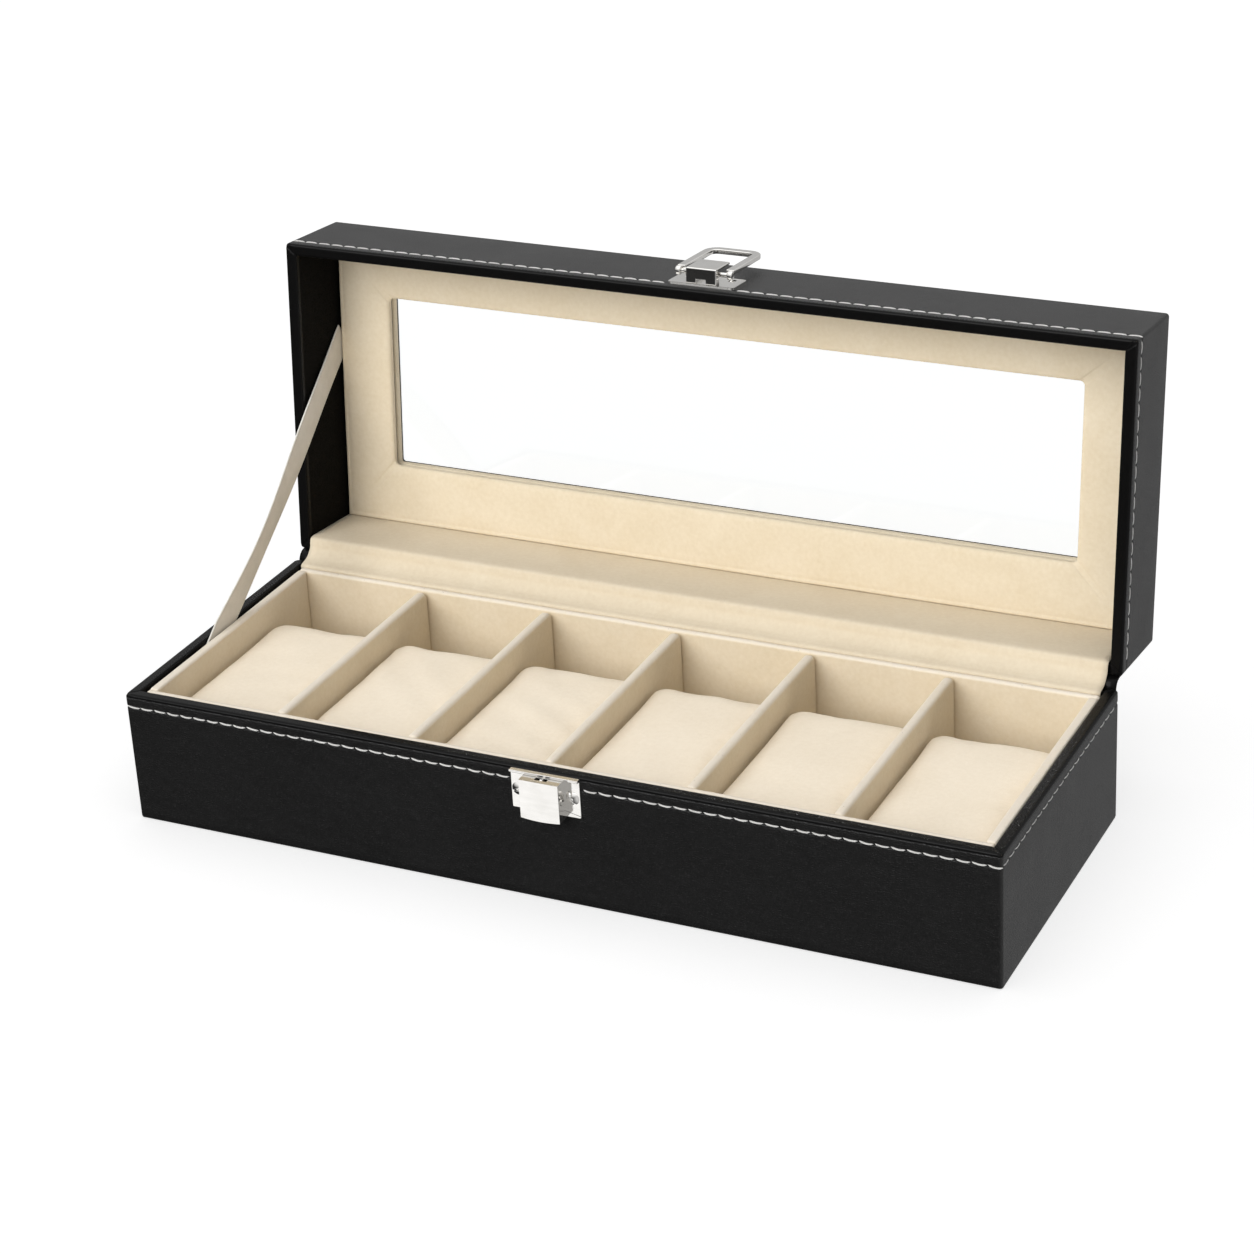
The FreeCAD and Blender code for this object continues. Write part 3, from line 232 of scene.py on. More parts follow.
def rounded_outline(corners, radii, steps=6):
    """A polygon whose corners are arcs; returns the points and their outward normals."""
    corners = np.asarray(corners, float)
    before, after = np.roll(corners, 1, axis=0), np.roll(corners, -1, axis=0)
    into = (corners - before) / np.linalg.norm(corners - before, axis=1, keepdims=True)
    out = (after - corners) / np.linalg.norm(after - corners, axis=1, keepdims=True)
    turn = np.arctan2(into[:, 0] * out[:, 1] - into[:, 1] * out[:, 0],
                      np.sum(into * out, axis=1))
    radii = np.asarray(radii, float)
    start = np.arctan2(-into[:, 0], into[:, 1])
    reach = np.abs(radii) / np.cos(turn / 2)
    bisector = out - into
    bisector /= np.linalg.norm(bisector, axis=1, keepdims=True)
    centre = corners + bisector * reach[:, None]
    angle = start[:, None] + turn[:, None] * np.linspace(0, 1, steps + 1)[None, :]
    normal = np.stack([np.cos(angle), np.sin(angle)], axis=-1)
    points = centre[:, None, :] + radii[:, None, None] * normal
    return points.reshape(-1, 2), normal.reshape(-1, 2)


def densify(points, normals, longest):
    """Adds points along the straight runs of an outline, no further apart than given."""
    following = np.roll(points, -1, axis=0)
    counts = np.maximum(1, np.ceil(np.linalg.norm(following - points, axis=1) / longest))
    counts = counts.astype(int)
    index = np.repeat(np.arange(len(points)), counts)
    within = np.concatenate([np.arange(count) / count for count in counts])[:, None]
    after = (index + 1) % len(points)
    mixed = points[index] + (points[after] - points[index]) * within
    normal = normals[index] + (normals[after] - normals[index]) * within
    return mixed, normal / np.linalg.norm(normal, axis=1, keepdims=True)


def rolled_slab(outline, normals, low, high, roll, steps=5):
    """A slab between two heights over an outline, its edges rolled in quarter circles.

    Returns points as (u, v, height), a ring per step, with a flat cap at each end.
    """
    angle = np.linspace(0, math.pi / 2, steps + 1)
    inset = np.concatenate([roll * (1 - np.sin(angle)), roll * (1 - np.sin(angle[::-1]))])
    height = np.concatenate([low + roll * (1 - np.cos(angle)),
                             high - roll * (1 - np.cos(angle[::-1]))])
    plan = outline[None, :, :] - inset[:, None, None] * normals[None, :, :]
    tall = np.broadcast_to(height[:, None, None], plan.shape[:2] + (1,))
    points = np.concatenate([plan, tall], axis=-1)
    return points.reshape(-1, 3), capped_faces(*plan.shape[:2])


# ---- Shader groups and materials ----
def feed(tree, socket, value):
    """Links a socket to the one that feeds it, or gives it a plain value."""
    if isinstance(value, bpy.types.NodeSocket):
        tree.links.new(value, socket)
    else:
        socket.default_value = value


def add(tree, kind, inputs=None, **settings):
    """A node with its settings and the sockets or values that feed it."""
    node = tree.nodes.new(kind)
    for key, setting in settings.items():
        setattr(node, key, setting)
    for key, value in (inputs or {}).items():
        feed(tree, node.inputs[key], value)
    return node


def maths(tree, operation, first, second=0.0):
    """The output of a Math node."""
    return add(tree, "ShaderNodeMath", {0: first, 1: second}, operation=operation).outputs[0]


def weighted(tree, first, share, second, other_share):
    """The sum of two values, each times its share."""
    return maths(tree, "ADD", maths(tree, "MULTIPLY", first, share),
                 maths(tree, "MULTIPLY", second, other_share))


def ramp(tree, factor, low, high, to_low=0.0, to_high=1.0):
    """A value mapped from one range to another, kept within the second."""
    return add(tree, "ShaderNodeMapRange", {
        "Value": factor, "From Min": low, "From Max": high, "To Min": to_low,
        "To Max": to_high}).outputs["Result"]


def noise(tree, place, scale, detail, **more):
    """The value of a noise texture."""
    return add(tree, "ShaderNodeTexNoise", {
        "Vector": place, "Scale": scale, "Detail": detail, **more}).outputs[0]


def shader_group(name, values, build_outputs):
    """A shader group that takes a vector and named values.

    build_outputs gets the group's tree and input sockets and returns its outputs by name.
    """
    group = bpy.data.node_groups.new(name, "ShaderNodeTree")
    group.interface.new_socket("Vector", in_out="INPUT", socket_type="NodeSocketVector")
    for label, default in values.items():
        group.interface.new_socket(
            label, in_out="INPUT", socket_type="NodeSocketFloat").default_value = default
    outputs = build_outputs(group, group.nodes.new("NodeGroupInput").outputs)
    for label in outputs:
        group.interface.new_socket(label, in_out="OUTPUT", socket_type="NodeSocketFloat")
    target = group.nodes.new("NodeGroupOutput")
    for label, value in outputs.items():
        group.links.new(value, target.inputs[label])
    return group


def pressed_grain(tree, given):
    """Pressed grain: soft pebbles between fine creases, with a slow change of gloss."""
    place = given["Vector"]
    warp = add(tree, "ShaderNodeTexNoise", {"Vector": place, "Scale": 320.0, "Detail": 2.0})
    shift = add(tree, "ShaderNodeVectorMath", {0: warp.outputs["Color"], "Scale": 0.0011},
                operation="SCALE")
    moved = add(tree, "ShaderNodeVectorMath", {0: place, 1: shift.outputs[0]}, operation="ADD")
    cells = add(tree, "ShaderNodeTexVoronoi", {
        "Vector": moved.outputs[0], "Scale": given["Pebbles"]},
        feature="DISTANCE_TO_EDGE").outputs["Distance"]
    crease = ramp(tree, cells, 0.0, 0.16, 1.0, 0.0)
    fine, slow = noise(tree, place, 5200.0, 3.0), noise(tree, place, 60.0, 3.0)
    return {"Height": weighted(tree, ramp(tree, cells, 0.0, 0.35), 1.0, fine, 0.35),
            "Gloss": weighted(tree, slow, 0.5, crease, 0.5), "Crease": crease}


def short_nap(tree, given):
    """Short nap: a fine fuzz, brushed patches and sparse lint, from noise at three sizes."""
    place = given["Vector"]
    fuzz = noise(tree, place, given["Fuzz"], 4.0, Roughness=0.7)
    medium = noise(tree, place, 700.0, 3.0)
    patch = noise(tree, place, given["Patches"], 4.0, Distortion=0.8)
    lint = add(tree, "ShaderNodeTexVoronoi", {"Vector": place, "Scale": 420.0})
    return {"Height": weighted(tree, fuzz, 1.0, medium, 0.8),
            "Shade": weighted(tree, patch, 0.5, medium, 0.5),
            "Lint": ramp(tree, lint.outputs["Distance"], 0.0, 0.11, 1.0, 0.0)}


def handling(tree, given):
    """Handling marks on polished metal: hairlines one way and a few soft smears."""
    stretch = add(tree, "ShaderNodeMapping", {
        "Vector": given["Vector"], "Scale": (0.12, 1.0, 1.0)}).outputs[0]
    hair = noise(tree, stretch, given["Hairlines"], 5.0)
    smear = noise(tree, given["Vector"], 160.0, 2.0)
    return {"Height": hair, "Haze": weighted(tree, hair, 0.4, smear, 0.6)}


GRAIN = shader_group("pressed_grain", {"Pebbles": 1500.0}, pressed_grain)
NAP = shader_group("short_nap", {"Fuzz": 3800.0, "Patches": 45.0}, short_nap)
SCUFF = shader_group("handling", {"Hairlines": 900.0}, handling)


def new_material(name, colour, roughness, metallic=0.0):
    """A material with one Principled shader, its tree and its object coordinates."""
    material = bpy.data.materials.new(name)
    material.use_nodes = True
    tree = material.node_tree
    inputs = tree.nodes["Principled BSDF"].inputs
    inputs["Base Color"].default_value = (*colour, 1.0)
    inputs["Roughness"].default_value = roughness
    inputs["Metallic"].default_value = metallic
    return material, tree, tree.nodes.new("ShaderNodeTexCoord").outputs["Object"]


def finished(material, colour, rough, height, distance, strength=1.0, **fixed):
    """Feeds the shader's colour, roughness and bump, and sets its plain values.

    The bump's distance is in millimetres. A fixed value's name has underscores for spaces.
    """
    tree = material.node_tree
    inputs = tree.nodes["Principled BSDF"].inputs
    feed(tree, inputs["Base Color"], colour)
    feed(tree, inputs["Roughness"], rough)
    relief = add(tree, "ShaderNodeBump", {
        "Height": height, "Strength": strength, "Distance": distance * MM})
    feed(tree, inputs["Normal"], relief.outputs[0])
    for label, value in fixed.items():
        inputs[label.replace("_", " ")].default_value = value
    return material


def use_group(tree, group, place, **values):
    """The outputs of a shader group placed in a material with its own values."""
    node = tree.nodes.new("ShaderNodeGroup")
    node.node_tree = group
    for key, value in {"Vector": place, **values}.items():
        feed(tree, node.inputs[key], value)
    return node.outputs


def mix_colour(tree, factor, first, second):
    """Two colours mixed by a factor."""
    node = add(tree, "ShaderNodeMix", {"Factor": factor}, data_type="RGBA")
    for key, colour in (("A", first), ("B", second)):
        socket = next(item for item in node.inputs if item.name == key and item.type == "RGBA")
        feed(tree, socket, (*colour, 1.0) if isinstance(colour, tuple) else colour)
    return next(item for item in node.outputs if item.type == "RGBA")


def leather_material(name, colour, rough, depth, specular):
    """Black leatherette: pressed pebbles, darker creases and a slow change of gloss."""
    material, tree, place = new_material(name, colour, 0.4)
    grain = use_group(tree, GRAIN, place, Pebbles=1350.0)
    dark = tuple(0.4 * value for value in colour)
    return finished(material, mix_colour(tree, grain["Crease"], colour, dark),
                    ramp(tree, grain["Gloss"], 0.1, 0.8, *rough), grain["Height"], depth,
                    Specular_IOR_Level=specular)


def velvet_material(name, light, dark, edge=None, patches=45.0):
    """Cream velvet: fuzz bump, brushed patches, sheen and worn fibres along top edges."""
    material, tree, place = new_material(name, light, 0.92)
    nap = use_group(tree, NAP, place, Patches=patches)
    shade = nap["Shade"]
    colour = mix_colour(tree, ramp(tree, shade, 0.3, 0.72), dark, light)
    if edge is not None:
        worn = add(tree, "ShaderNodeAttribute", attribute_name="worn").outputs["Fac"]
        spots = maths(tree, "MULTIPLY", worn, ramp(tree, shade, 0.25, 0.6, 0.55, 1.0))
        colour = mix_colour(tree, spots, colour, edge)
        specks = maths(tree, "MULTIPLY", maths(tree, "MULTIPLY", nap["Lint"], worn), 0.55)
        colour = mix_colour(tree, specks, colour, (0.25, 0.21, 0.18))
    return finished(material, colour, ramp(tree, shade, 0.2, 0.8, 0.98, 0.84), nap["Height"],
                    0.10, 0.8, Sheen_Weight=0.18, Sheen_Roughness=0.45,
                    Sheen_Tint=(1.0, 0.95, 0.87, 1.0), Specular_IOR_Level=0.2)


def satin_material():
    """Satin ribbon: fine cross threads, a smooth gloss and corded selvedges."""
    material, tree, place = new_material("satin ribbon", (0.84, 0.80, 0.73), 0.36)
    uv = add(tree, "ShaderNodeUVMap", uv_map="UVMap").outputs[0]
    across = add(tree, "ShaderNodeSeparateXYZ", {0: uv}).outputs[0]
    middle = maths(tree, "ABSOLUTE", maths(tree, "SUBTRACT", across, 0.5))
    selvedge = ramp(tree, middle, 0.435, 0.46)
    groove = maths(tree, "SUBTRACT", 1.0, ramp(
        tree, maths(tree, "ABSOLUTE", maths(tree, "SUBTRACT", middle, 0.43)), 0.0, 0.012))
    threads = add(tree, "ShaderNodeTexWave", {
        "Vector": uv, "Scale": 52.0, "Distortion": 0.6, "Detail": 2.0},
        bands_direction="Y").outputs["Fac"]
    slubs = noise(tree, place, 260.0, 3.0)
    colour = mix_colour(tree, slubs, (0.70, 0.655, 0.58), (0.86, 0.82, 0.75))
    colour = mix_colour(tree, selvedge, colour, (0.93, 0.90, 0.84))
    colour = mix_colour(tree, maths(tree, "MULTIPLY", groove, 0.6), colour, (0.42, 0.37, 0.31))
    rough = weighted(tree, ramp(tree, slubs, 0.2, 0.8, 0.30, 0.46), 1.0, selvedge, 0.15)
    height = weighted(tree, threads, 0.25, maths(tree, "SUBTRACT", selvedge, groove), 1.0)
    return finished(material, colour, rough, height, 0.08, Sheen_Weight=0.15)


def nickel_material():
    """Mirror-polished nickel with faint hairlines and handling haze."""
    material, tree, place = new_material("polished nickel", (0.84, 0.82, 0.78), 0.1, 1.0)
    marks = use_group(tree, SCUFF, place)
    colour = mix_colour(tree, ramp(tree, marks["Haze"], 0.3, 0.75), (0.80, 0.785, 0.76),
                        (0.70, 0.685, 0.655))
    return finished(material, colour, ramp(tree, marks["Haze"], 0.25, 0.8, 0.05, 0.17),
                    marks["Height"], 0.012, 0.5)


def thread_material():
    """White sewing thread: two strands twisted together, with a little soiling."""
    material, tree, place = new_material("white thread", (0.86, 0.85, 0.83), 0.6)
    uv = add(tree, "ShaderNodeUVMap", uv_map="UVMap").outputs[0]
    twist = add(tree, "ShaderNodeTexWave", {"Vector": uv, "Scale": 1.6, "Distortion": 0.4},
                bands_direction="DIAGONAL").outputs["Fac"]
    colour = mix_colour(tree, maths(tree, "MULTIPLY", twist, 0.5), (0.94, 0.93, 0.91),
                        (0.74, 0.72, 0.69))
    colour = mix_colour(tree, ramp(tree, noise(tree, place, 90.0, 2.0), 0.45, 0.8, 0.0, 0.35),
                        colour, (0.50, 0.48, 0.45))
    return finished(material, colour, ramp(tree, twist, 0.0, 1.0, 0.5, 0.72), twist, 0.06)


def board_material():
    """Pressed fibreboard: mottled brown fibres."""
    material, tree, place = new_material("fibreboard", (0.33, 0.25, 0.17), 0.85)
    fibres = noise(tree, place, 900.0, 6.0)
    return finished(material, mix_colour(tree, fibres, (0.22, 0.165, 0.11), (0.42, 0.33, 0.23)),
                    ramp(tree, fibres, 0.2, 0.8, 0.78, 0.95), fibres, 0.12)


def cloth_material():
    """Black felted cloth under the base: tangled fibres and a trace of dust."""
    material, tree, place = new_material("black felt", (0.02, 0.02, 0.02), 0.95)
    nap = use_group(tree, NAP, place, Fuzz=2600.0)
    colour = mix_colour(tree, nap["Shade"], (0.010, 0.010, 0.011), (0.034, 0.033, 0.033))
    colour = mix_colour(tree, maths(tree, "MULTIPLY", nap["Lint"], 0.25), colour,
                        (0.12, 0.115, 0.11))
    return finished(material, colour, ramp(tree, nap["Shade"], 0.2, 0.8, 0.99, 0.88),
                    nap["Height"], 0.15)


def pane_material():
    """Clear pane with very faint wiping marks."""
    material, tree, place = new_material("clear pane", (0.985, 0.995, 0.992), 0.0)
    inputs = tree.nodes["Principled BSDF"].inputs
    feed(tree, inputs["Roughness"], ramp(tree, noise(tree, place, 70.0, 4.0), 0.45, 0.85, 0.0,
                                         0.035))
    inputs["Transmission Weight"].default_value = 1.0
    inputs["IOR"].default_value = 1.46
    return material


LEATHER = leather_material("black leatherette", (0.0040, 0.0039, 0.0039), (0.38, 0.52), 0.08,
                           0.36)
EDGE_LEATHER = leather_material("rolled edge leatherette", (0.0048, 0.0047, 0.0047),
                                (0.20, 0.32), 0.015, 0.07)
INNER_LEATHER = leather_material("matt lining leatherette", (0.0080, 0.0076, 0.0068),
                                 (0.62, 0.75), 0.05, 0.02)
VELVET = velvet_material("cream velvet", (0.81, 0.71, 0.545), (0.73, 0.62, 0.445),
                         edge=(0.80, 0.725, 0.62))
# The cream velvet's colours at about 0.92 times the brightness: painted shade on the hinge lining, which is the
# same velvet.
SHADED_LINING_VELVET = velvet_material("lining velvet painted darker for shade", (0.74, 0.65, 0.50), (0.67, 0.57, 0.42))
PILLOW_VELVET = velvet_material("pillow velvet", (0.93, 0.835, 0.69), (0.86, 0.76, 0.61),
                                patches=30.0)
SATIN, NICKEL, THREAD = satin_material(), nickel_material(), thread_material()
BOARD, FELT, PANE = board_material(), cloth_material(), pane_material()


# ---- Leather covers ----
def arc_steps(radius, count=5):
    """A quarter circle as (away from the first face, towards the second) pairs."""
    angle = np.linspace(0, math.pi / 2, count + 1)
    return radius * (1 - np.cos(angle)), radius * np.sin(angle)


def case_profile(rim, towards, depth):
    """The leather's profile over one wall, from low outside, over the rim, to inside.

    Rows are (inset from the outer face, height, rolled). Heights run from the rim's
    height in the given direction. A shallow groove holds the stitches and a fine
    crease lies under the rolled edge.
    """
    rows = [(5.0, depth - 0.05, 0), (0.7, depth - 0.05, 0), (0.15, depth - 0.25, 0),
            (0.0, depth - 0.8, 0)]
    rows += [(0.0, height, 0) for height in np.linspace(depth - 3.0, 6.2, 7)]
    rows += [(0.0, 5.3, 0), (0.05, 4.95, 0), (0.16, 4.7, 0), (0.18, 4.5, 0), (0.16, 4.3, 0),
             (0.05, 4.05, 0), (0.0, 3.7, 0), (0.0, 1.75, 0), (0.02, 1.5, 0.2), (0.13, 1.32, 0.4),
             (0.13, 1.2, 0.6), (0.0, 1.02, 0.9)]
    outer = arc_steps(0.9)
    rows += [(inset, 0.9 - rise, 1) for inset, rise in zip(*outer)][1:]
    rows += [(1.6, 0.02, 1), (2.4, 0.03, 1)]
    inner = arc_steps(0.7)
    rows += [(WALL - out, 0.7 - rise, 1) for out, rise in zip(inner[0][::-1], inner[1][::-1])]
    rows += [(WALL, 2.0, 0.6), (WALL, 6.0, 0)]
    rows += [(WALL, height, 0) for height in (14.0, 24.0, depth - 4.0)]
    rows = np.array(rows, float)
    rows[:, 1] = rim + towards * rows[:, 1]
    return rows


def unevenness(points, height, seed):
    """Slow hand-wrapped waviness: a sum of four long sine waves in x, y and z."""
    rng = np.random.default_rng(seed)
    total = 0
    for _ in range(4):
        wave = rng.normal(size=3) * 2 * math.pi / 70
        total = total + np.sin(points @ wave + rng.uniform(0, 6.28))
    return height * total / 4


def case_station(mid_y, inset, z, radius):
    """A loft station: the case's outline drawn in by an inset."""
    return HALF_X - inset, mid_y - HALF_Y + inset, mid_y + HALF_Y - inset, z, radius


def window_station(out, z, radius):
    """A loft station: the window's outline let out by a distance."""
    return (WINDOW_HALF_X + out, WINDOW_MID_Y - WINDOW_HALF_Y - out,
            WINDOW_MID_Y + WINDOW_HALF_Y + out, z, radius)


def wall_stations(rows, mid_y):
    """A station per profile row: corners wide outside, small on the rim, tight inside."""
    insets = rows[:, 0]
    radii = np.where(insets < 0.9, 1.1 - 0.3 * insets, 0.12)
    radii = np.where((insets >= 0.9) & (insets < 3.0), 0.5, radii)
    return [case_station(mid_y, inset, z, radius)
            for (inset, z, _), radius in zip(rows, radii)]


def wrapped_case(body, stations, rolled, rim, towards, mid_y, leathers):
    """A lofted cover, cut into its outer face, rolled rim and inner face.

    A narrow seam is sunk into the rolled rim across each corner. The back wall's rim is
    lowered between the end walls, to make room for the lining. Neighbouring faces share
    a row of points, and each has its own leather.
    """
    points, ends = frame_loft(stations)
    points[..., 2] += towards * 0.20 * np.exp(-(ends / 0.22) ** 2) * rolled[:, None]
    x, y, z = np.moveaxis(points, -1, 0)
    between = smooth_step((HALF_X - WALL + 0.15 - np.abs(x)) / 0.3)
    at_back = y > mid_y + HALF_Y - WALL - 0.05
    high = smooth_step((1.6 - towards * (z - rim)) / 1.4)
    points[..., 2] = z + towards * REAR_DROP * between * at_back * high
    if body == "lid":
        points = to_open_lid(points)
    first, last = np.flatnonzero(rolled > 0.5)[[0, -1]]
    cuts = (0, first, last, len(stations) - 1)
    for (name, material), low, high in zip(leathers, cuts, cuts[1:]):
        rows = points[low:high + 1]
        piece = make_piece("%s_leather_%s" % (body, name), rows,
                           grid_faces(*rows.shape[:2], close_columns=True), material, body,
                           merge=False)
        stand_in(piece, body + "_cover")


def base_leather():
    """Leather over both faces and the rim of the base's walls."""
    rows = case_profile(BASE_TOP, -1.0, BASE_TOP)
    wrapped_case("base", wall_stations(rows, 0.0), rows[:, 2], BASE_TOP, -1.0, 0.0,
                 (("outer", LEATHER), ("rim", EDGE_LEATHER), ("inner", INNER_LEATHER)))


def lid_leather():
    """Leather over the lid's walls, rim and top, rolled into the window's edge."""
    rows = case_profile(LID_RIM, 1.0, LID_TOP - LID_RIM)[4:][::-1]
    rows = np.vstack([[(WALL, 30.4, 0)], rows[rows[:, 1] < LID_TOP - 3.2]])
    stations = wall_stations(rows, LID_MID_Y)
    for inset, height in zip(*arc_steps(1.3, 6)):
        stations.append(case_station(LID_MID_Y, inset, LID_TOP - 1.3 + height, 1.1 + inset))
    edge = np.array(case_station(LID_MID_Y, 1.3, 0, 0)[:3])
    to_window = np.array(window_station(0.7, 0, 0)[:3]) - edge
    for share in (0.04, 0.12, 0.3, 0.5, 0.7, 0.88, 0.96):
        stations.append((*(edge + to_window * share), LID_TOP, 2.4 * (1 - share) + 1.2))
    for away, drop in zip(*arc_steps(0.45, 4)):
        stations.append(window_station(0.45 - drop, LID_TOP - away, 1.0))
    stations.append(window_station(0.0, 33.45, 1.0))
    rolled = np.concatenate([rows[:, 2], np.zeros(len(stations) - len(rows))])
    wrapped_case("lid", stations, rolled, LID_RIM, 1.0, LID_MID_Y,
                 (("inner", INNER_LEATHER), ("rim", EDGE_LEATHER), ("outer", LEATHER)))


# ---- Stitching ----
def stitch_row(starts, along, outward, down, radius, seed):
    """Threads laid end to end, each rising from one hole and dipping into the next.

    A thread's centre stands out by half a sine wave and hangs in a shallow parabola,
    its thickness closes at both ends, and it slants a little, with seeded differences.
    Returns a threads by rings by ring points grid.
    """
    rng = np.random.default_rng(seed)
    along, outward, down = (np.asarray(v, float) for v in (along, outward, down))
    t, angle = STITCH_RUN, STITCH_ANGLE
    count = len(starts)
    slant = 0.13 + rng.normal(size=(count, 1)) * 0.05
    hang = 0.30 + rng.normal(size=(count, 1)) * 0.06
    size = 1 + rng.normal(size=(count, 1)) * 0.02
    run = (t - 0.5) * STITCH_LENGTH * size
    rise = 0.17 * np.sin(math.pi * t)[None, :] ** 0.5 - 0.06
    drop = slant * (t - 0.5) * 2 + hang * (1 - (2 * t - 1) ** 2) - 0.2
    centre = (starts[:, None, :] + run[..., None] * along + rise[..., None] * outward
              + drop[..., None] * down)
    thick = radius * np.clip(np.sin(math.pi * np.clip(t, 0.02, 0.98)) * 2.6, 0.15, 1.0)
    ring = np.cos(angle)[:, None] * outward + np.sin(angle)[:, None] * down
    return centre[:, :, None, :] + thick[:, None, None] * ring


STITCH_RUN = np.linspace(0, 1, 8)
STITCH_ANGLE = np.linspace(0, 2 * math.pi, 6, endpoint=False)


def stitched_case(name, node, mid_y, z, down, hardware_half, body):
    """One row along the front, left out under the metal, and one along each end."""
    front_y, back_y = mid_y - HALF_Y, mid_y + HALF_Y
    x = np.arange(-HALF_X + 2.9, HALF_X - 1.5, STITCH_PITCH)
    x = x[np.abs(x - HARDWARE_X) > hardware_half + STITCH_LENGTH / 2 - 0.8]
    front = np.stack(np.broadcast_arrays(x, front_y + 0.1, z), axis=1)
    rows = [stitch_row(front, (1, 0, 0), (0, -1, 0), (0, 0, down), 0.26, 3)]
    y = np.arange(front_y + 3.4, back_y - 2.4, STITCH_PITCH)
    for side, seed in ((-1, 5), (1, 7)):
        end = np.stack(np.broadcast_arrays(side * (HALF_X - 0.1), y, z), axis=1)
        rows.append(stitch_row(end, (0, 1, 0), (side, 0, 0), (0, 0, down), 0.18, seed))
    points = np.concatenate(rows)
    count, rings, around = points.shape[:3]
    uv = np.stack(np.broadcast_arrays((STITCH_RUN * STITCH_LENGTH)[:, None],
                                      STITCH_ANGLE / 6.28 * 2), axis=-1)
    one = capped_faces(rings, around)
    faces = [[index + first for index in face]
             for first in range(0, count * rings * around, rings * around) for face in one]
    points = to_open_lid(points) if body == "lid" else points
    piece = make_piece(name, points, faces, THREAD, body, uv=np.tile(uv, (count, 1, 1, 1)),
                       merge=False)
    stand_in(piece, node)


# ---- Velvet boards, frame and cushions ----
def box_outline(low, high, radii, steps=6):
    """A rounded outline over a box given by two corners."""
    return rounded_outline([(low[0], low[1]), (high[0], low[1]), (high[0], high[1]),
                            (low[0], high[1])], radii, steps)


def node_box(node):
    """A node's lowest and highest corners in millimetres."""
    return (np.array(corner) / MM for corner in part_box(node))


def velvet_board(name, node, plane, roll, radii, swell=0.0, seed=0):
    """A velvet-covered board made from its CAD node's box.

    The outline is the board's side view with its own corner radii, the edges are
    rolled across its thickness, and both faces swell very slightly.
    """
    low, high = node_box(node)
    u, across = (1, 0) if plane == "YZ" else (0, 1)
    outline, normals = densify(*box_outline(low[[u, 2]], high[[u, 2]], radii), 4.0)
    local, faces = rolled_slab(outline, normals, low[across], high[across], roll)
    points = np.zeros_like(local)
    points[:, [u, 2, across]] = local
    wave = unevenness(points, 0.12, seed)
    points[:, 2] += np.where(points[:, 2] > high[2] - 3, wave - 0.06, 0.0)
    shape = np.sin(math.pi * np.clip((points[:, 2] - low[2]) / (high[2] - low[2]), 0, 1))
    side = np.sign(points[:, across] - (low[across] + high[across]) / 2)
    points[:, across] += side * swell * shape
    worn = smooth_step((points[:, 2] - (high[2] - 1.2)) / 0.9)
    stand_in(make_piece(name, points, faces, VELVET, "base", values={"worn": worn}), node)


def lid_velvet(name, node, points):
    """A velvet piece of the lid from a loft's points."""
    faces = grid_faces(*points.shape[:2], close_columns=True)
    stand_in(make_piece(name, to_open_lid(points), faces, VELVET, "lid", merge=False), node)


def window_panel():
    """The lid's velvet panel: a bead along the outer edge, a groove and a soft crown.

    Its profile is carried from the outer rectangle to the window's, and a crease is
    sunk where the four sides meet.
    """
    outer = np.array([145.0, -107.6, -7.45])
    window = np.array(window_station(0.0, 0, 0)[:3])
    rows = np.array([
        (0.0, 2.4), (0.0, 0.9), (0.05, 0.5), (0.25, 0.18), (0.6, 0.02), (1.0, 0.03),
        (1.35, 0.12), (1.6, 0.14), (1.9, 0.08), (2.4, 0.0), (3.4, -0.05), (5.0, -0.10),
        (7.0, -0.15), (9.5, -0.16), (12.0, -0.13), (14.0, -0.08), (15.6, -0.03),
        (17.0, 0.02), (17.7, 0.09), (18.3, 0.28), (18.75, 0.62), (19.0, 1.1),
        (19.0, 1.7), (18.9, 2.4)])
    shares, depths = rows[:, 0] / 19.0, rows[:, 1]
    points, ends = frame_loft([
        (*(outer + (window - outer) * share), FRAME_LOW + depth, 0.5 + 1.1 * share)
        for share, depth in zip(shares, depths)])
    on_face = (depths < 0.7).astype(float)
    near_window = smooth_step((shares - 0.35) / 0.5)
    crease = 0.22 * np.exp(-(ends / 0.4) ** 2) + 0.12 * np.exp(-(ends / 1.6) ** 2)
    points[..., 2] += crease * (on_face * near_window)[:, None]
    points[..., 2] += unevenness(points, 0.10, 21) * on_face[:, None]
    lid_velvet("window_panel", "window_frame", points)


def window_reveal():
    """The velvet strip that lines the window's cut edge, rolled at both ends."""
    rows = ((0.7, 30.55), (0.2, 30.6), (0.02, 30.85), (-0.04, 31.5), (-0.05, 32.2),
            (0.0, 32.9), (0.15, 33.2), (0.7, 33.3))
    points, _ = frame_loft([window_station(out, z, 0.6 + max(out, 0.0)) for out, z in rows])
    lid_velvet("window_reveal_velvet", "window_reveal", points)


def flat_pad(name, node, roll, lift, material, seed):
    """A glued-down pad: a slab over its node's box whose broad face rises and falls."""
    low, high = node_box(node)
    outline, normals = box_outline(low, high, [1.0] * 4)
    middle = (low[:2] + high[:2]) / 2
    share = np.linspace(0.0, 1.0, 24)[1:]
    cap = middle + share[:, None, None] * (outline - roll * normals - middle)
    rim, _ = rolled_slab(outline, normals, low[2], high[2], roll, 3)
    rim = rim.reshape(-1, len(outline), 3)[::-1]
    top = np.concatenate([cap, np.full(cap.shape[:2] + (1,), high[2])], axis=-1)
    top[:-1, :, 2] -= lift * (0.5 + 0.5 * unevenness(top[:-1], 1.0, seed))
    points = np.concatenate([top, rim[1:]])
    stand_in(make_piece(name, points, capped_faces(*points.shape[:2]), material, "base"), node)


def coordinates(mesh):
    """A mesh's points as an array."""
    flat = np.zeros(len(mesh.vertices) * 3, np.float32)
    mesh.vertices.foreach_get("co", flat)
    return flat.reshape(-1, 3)


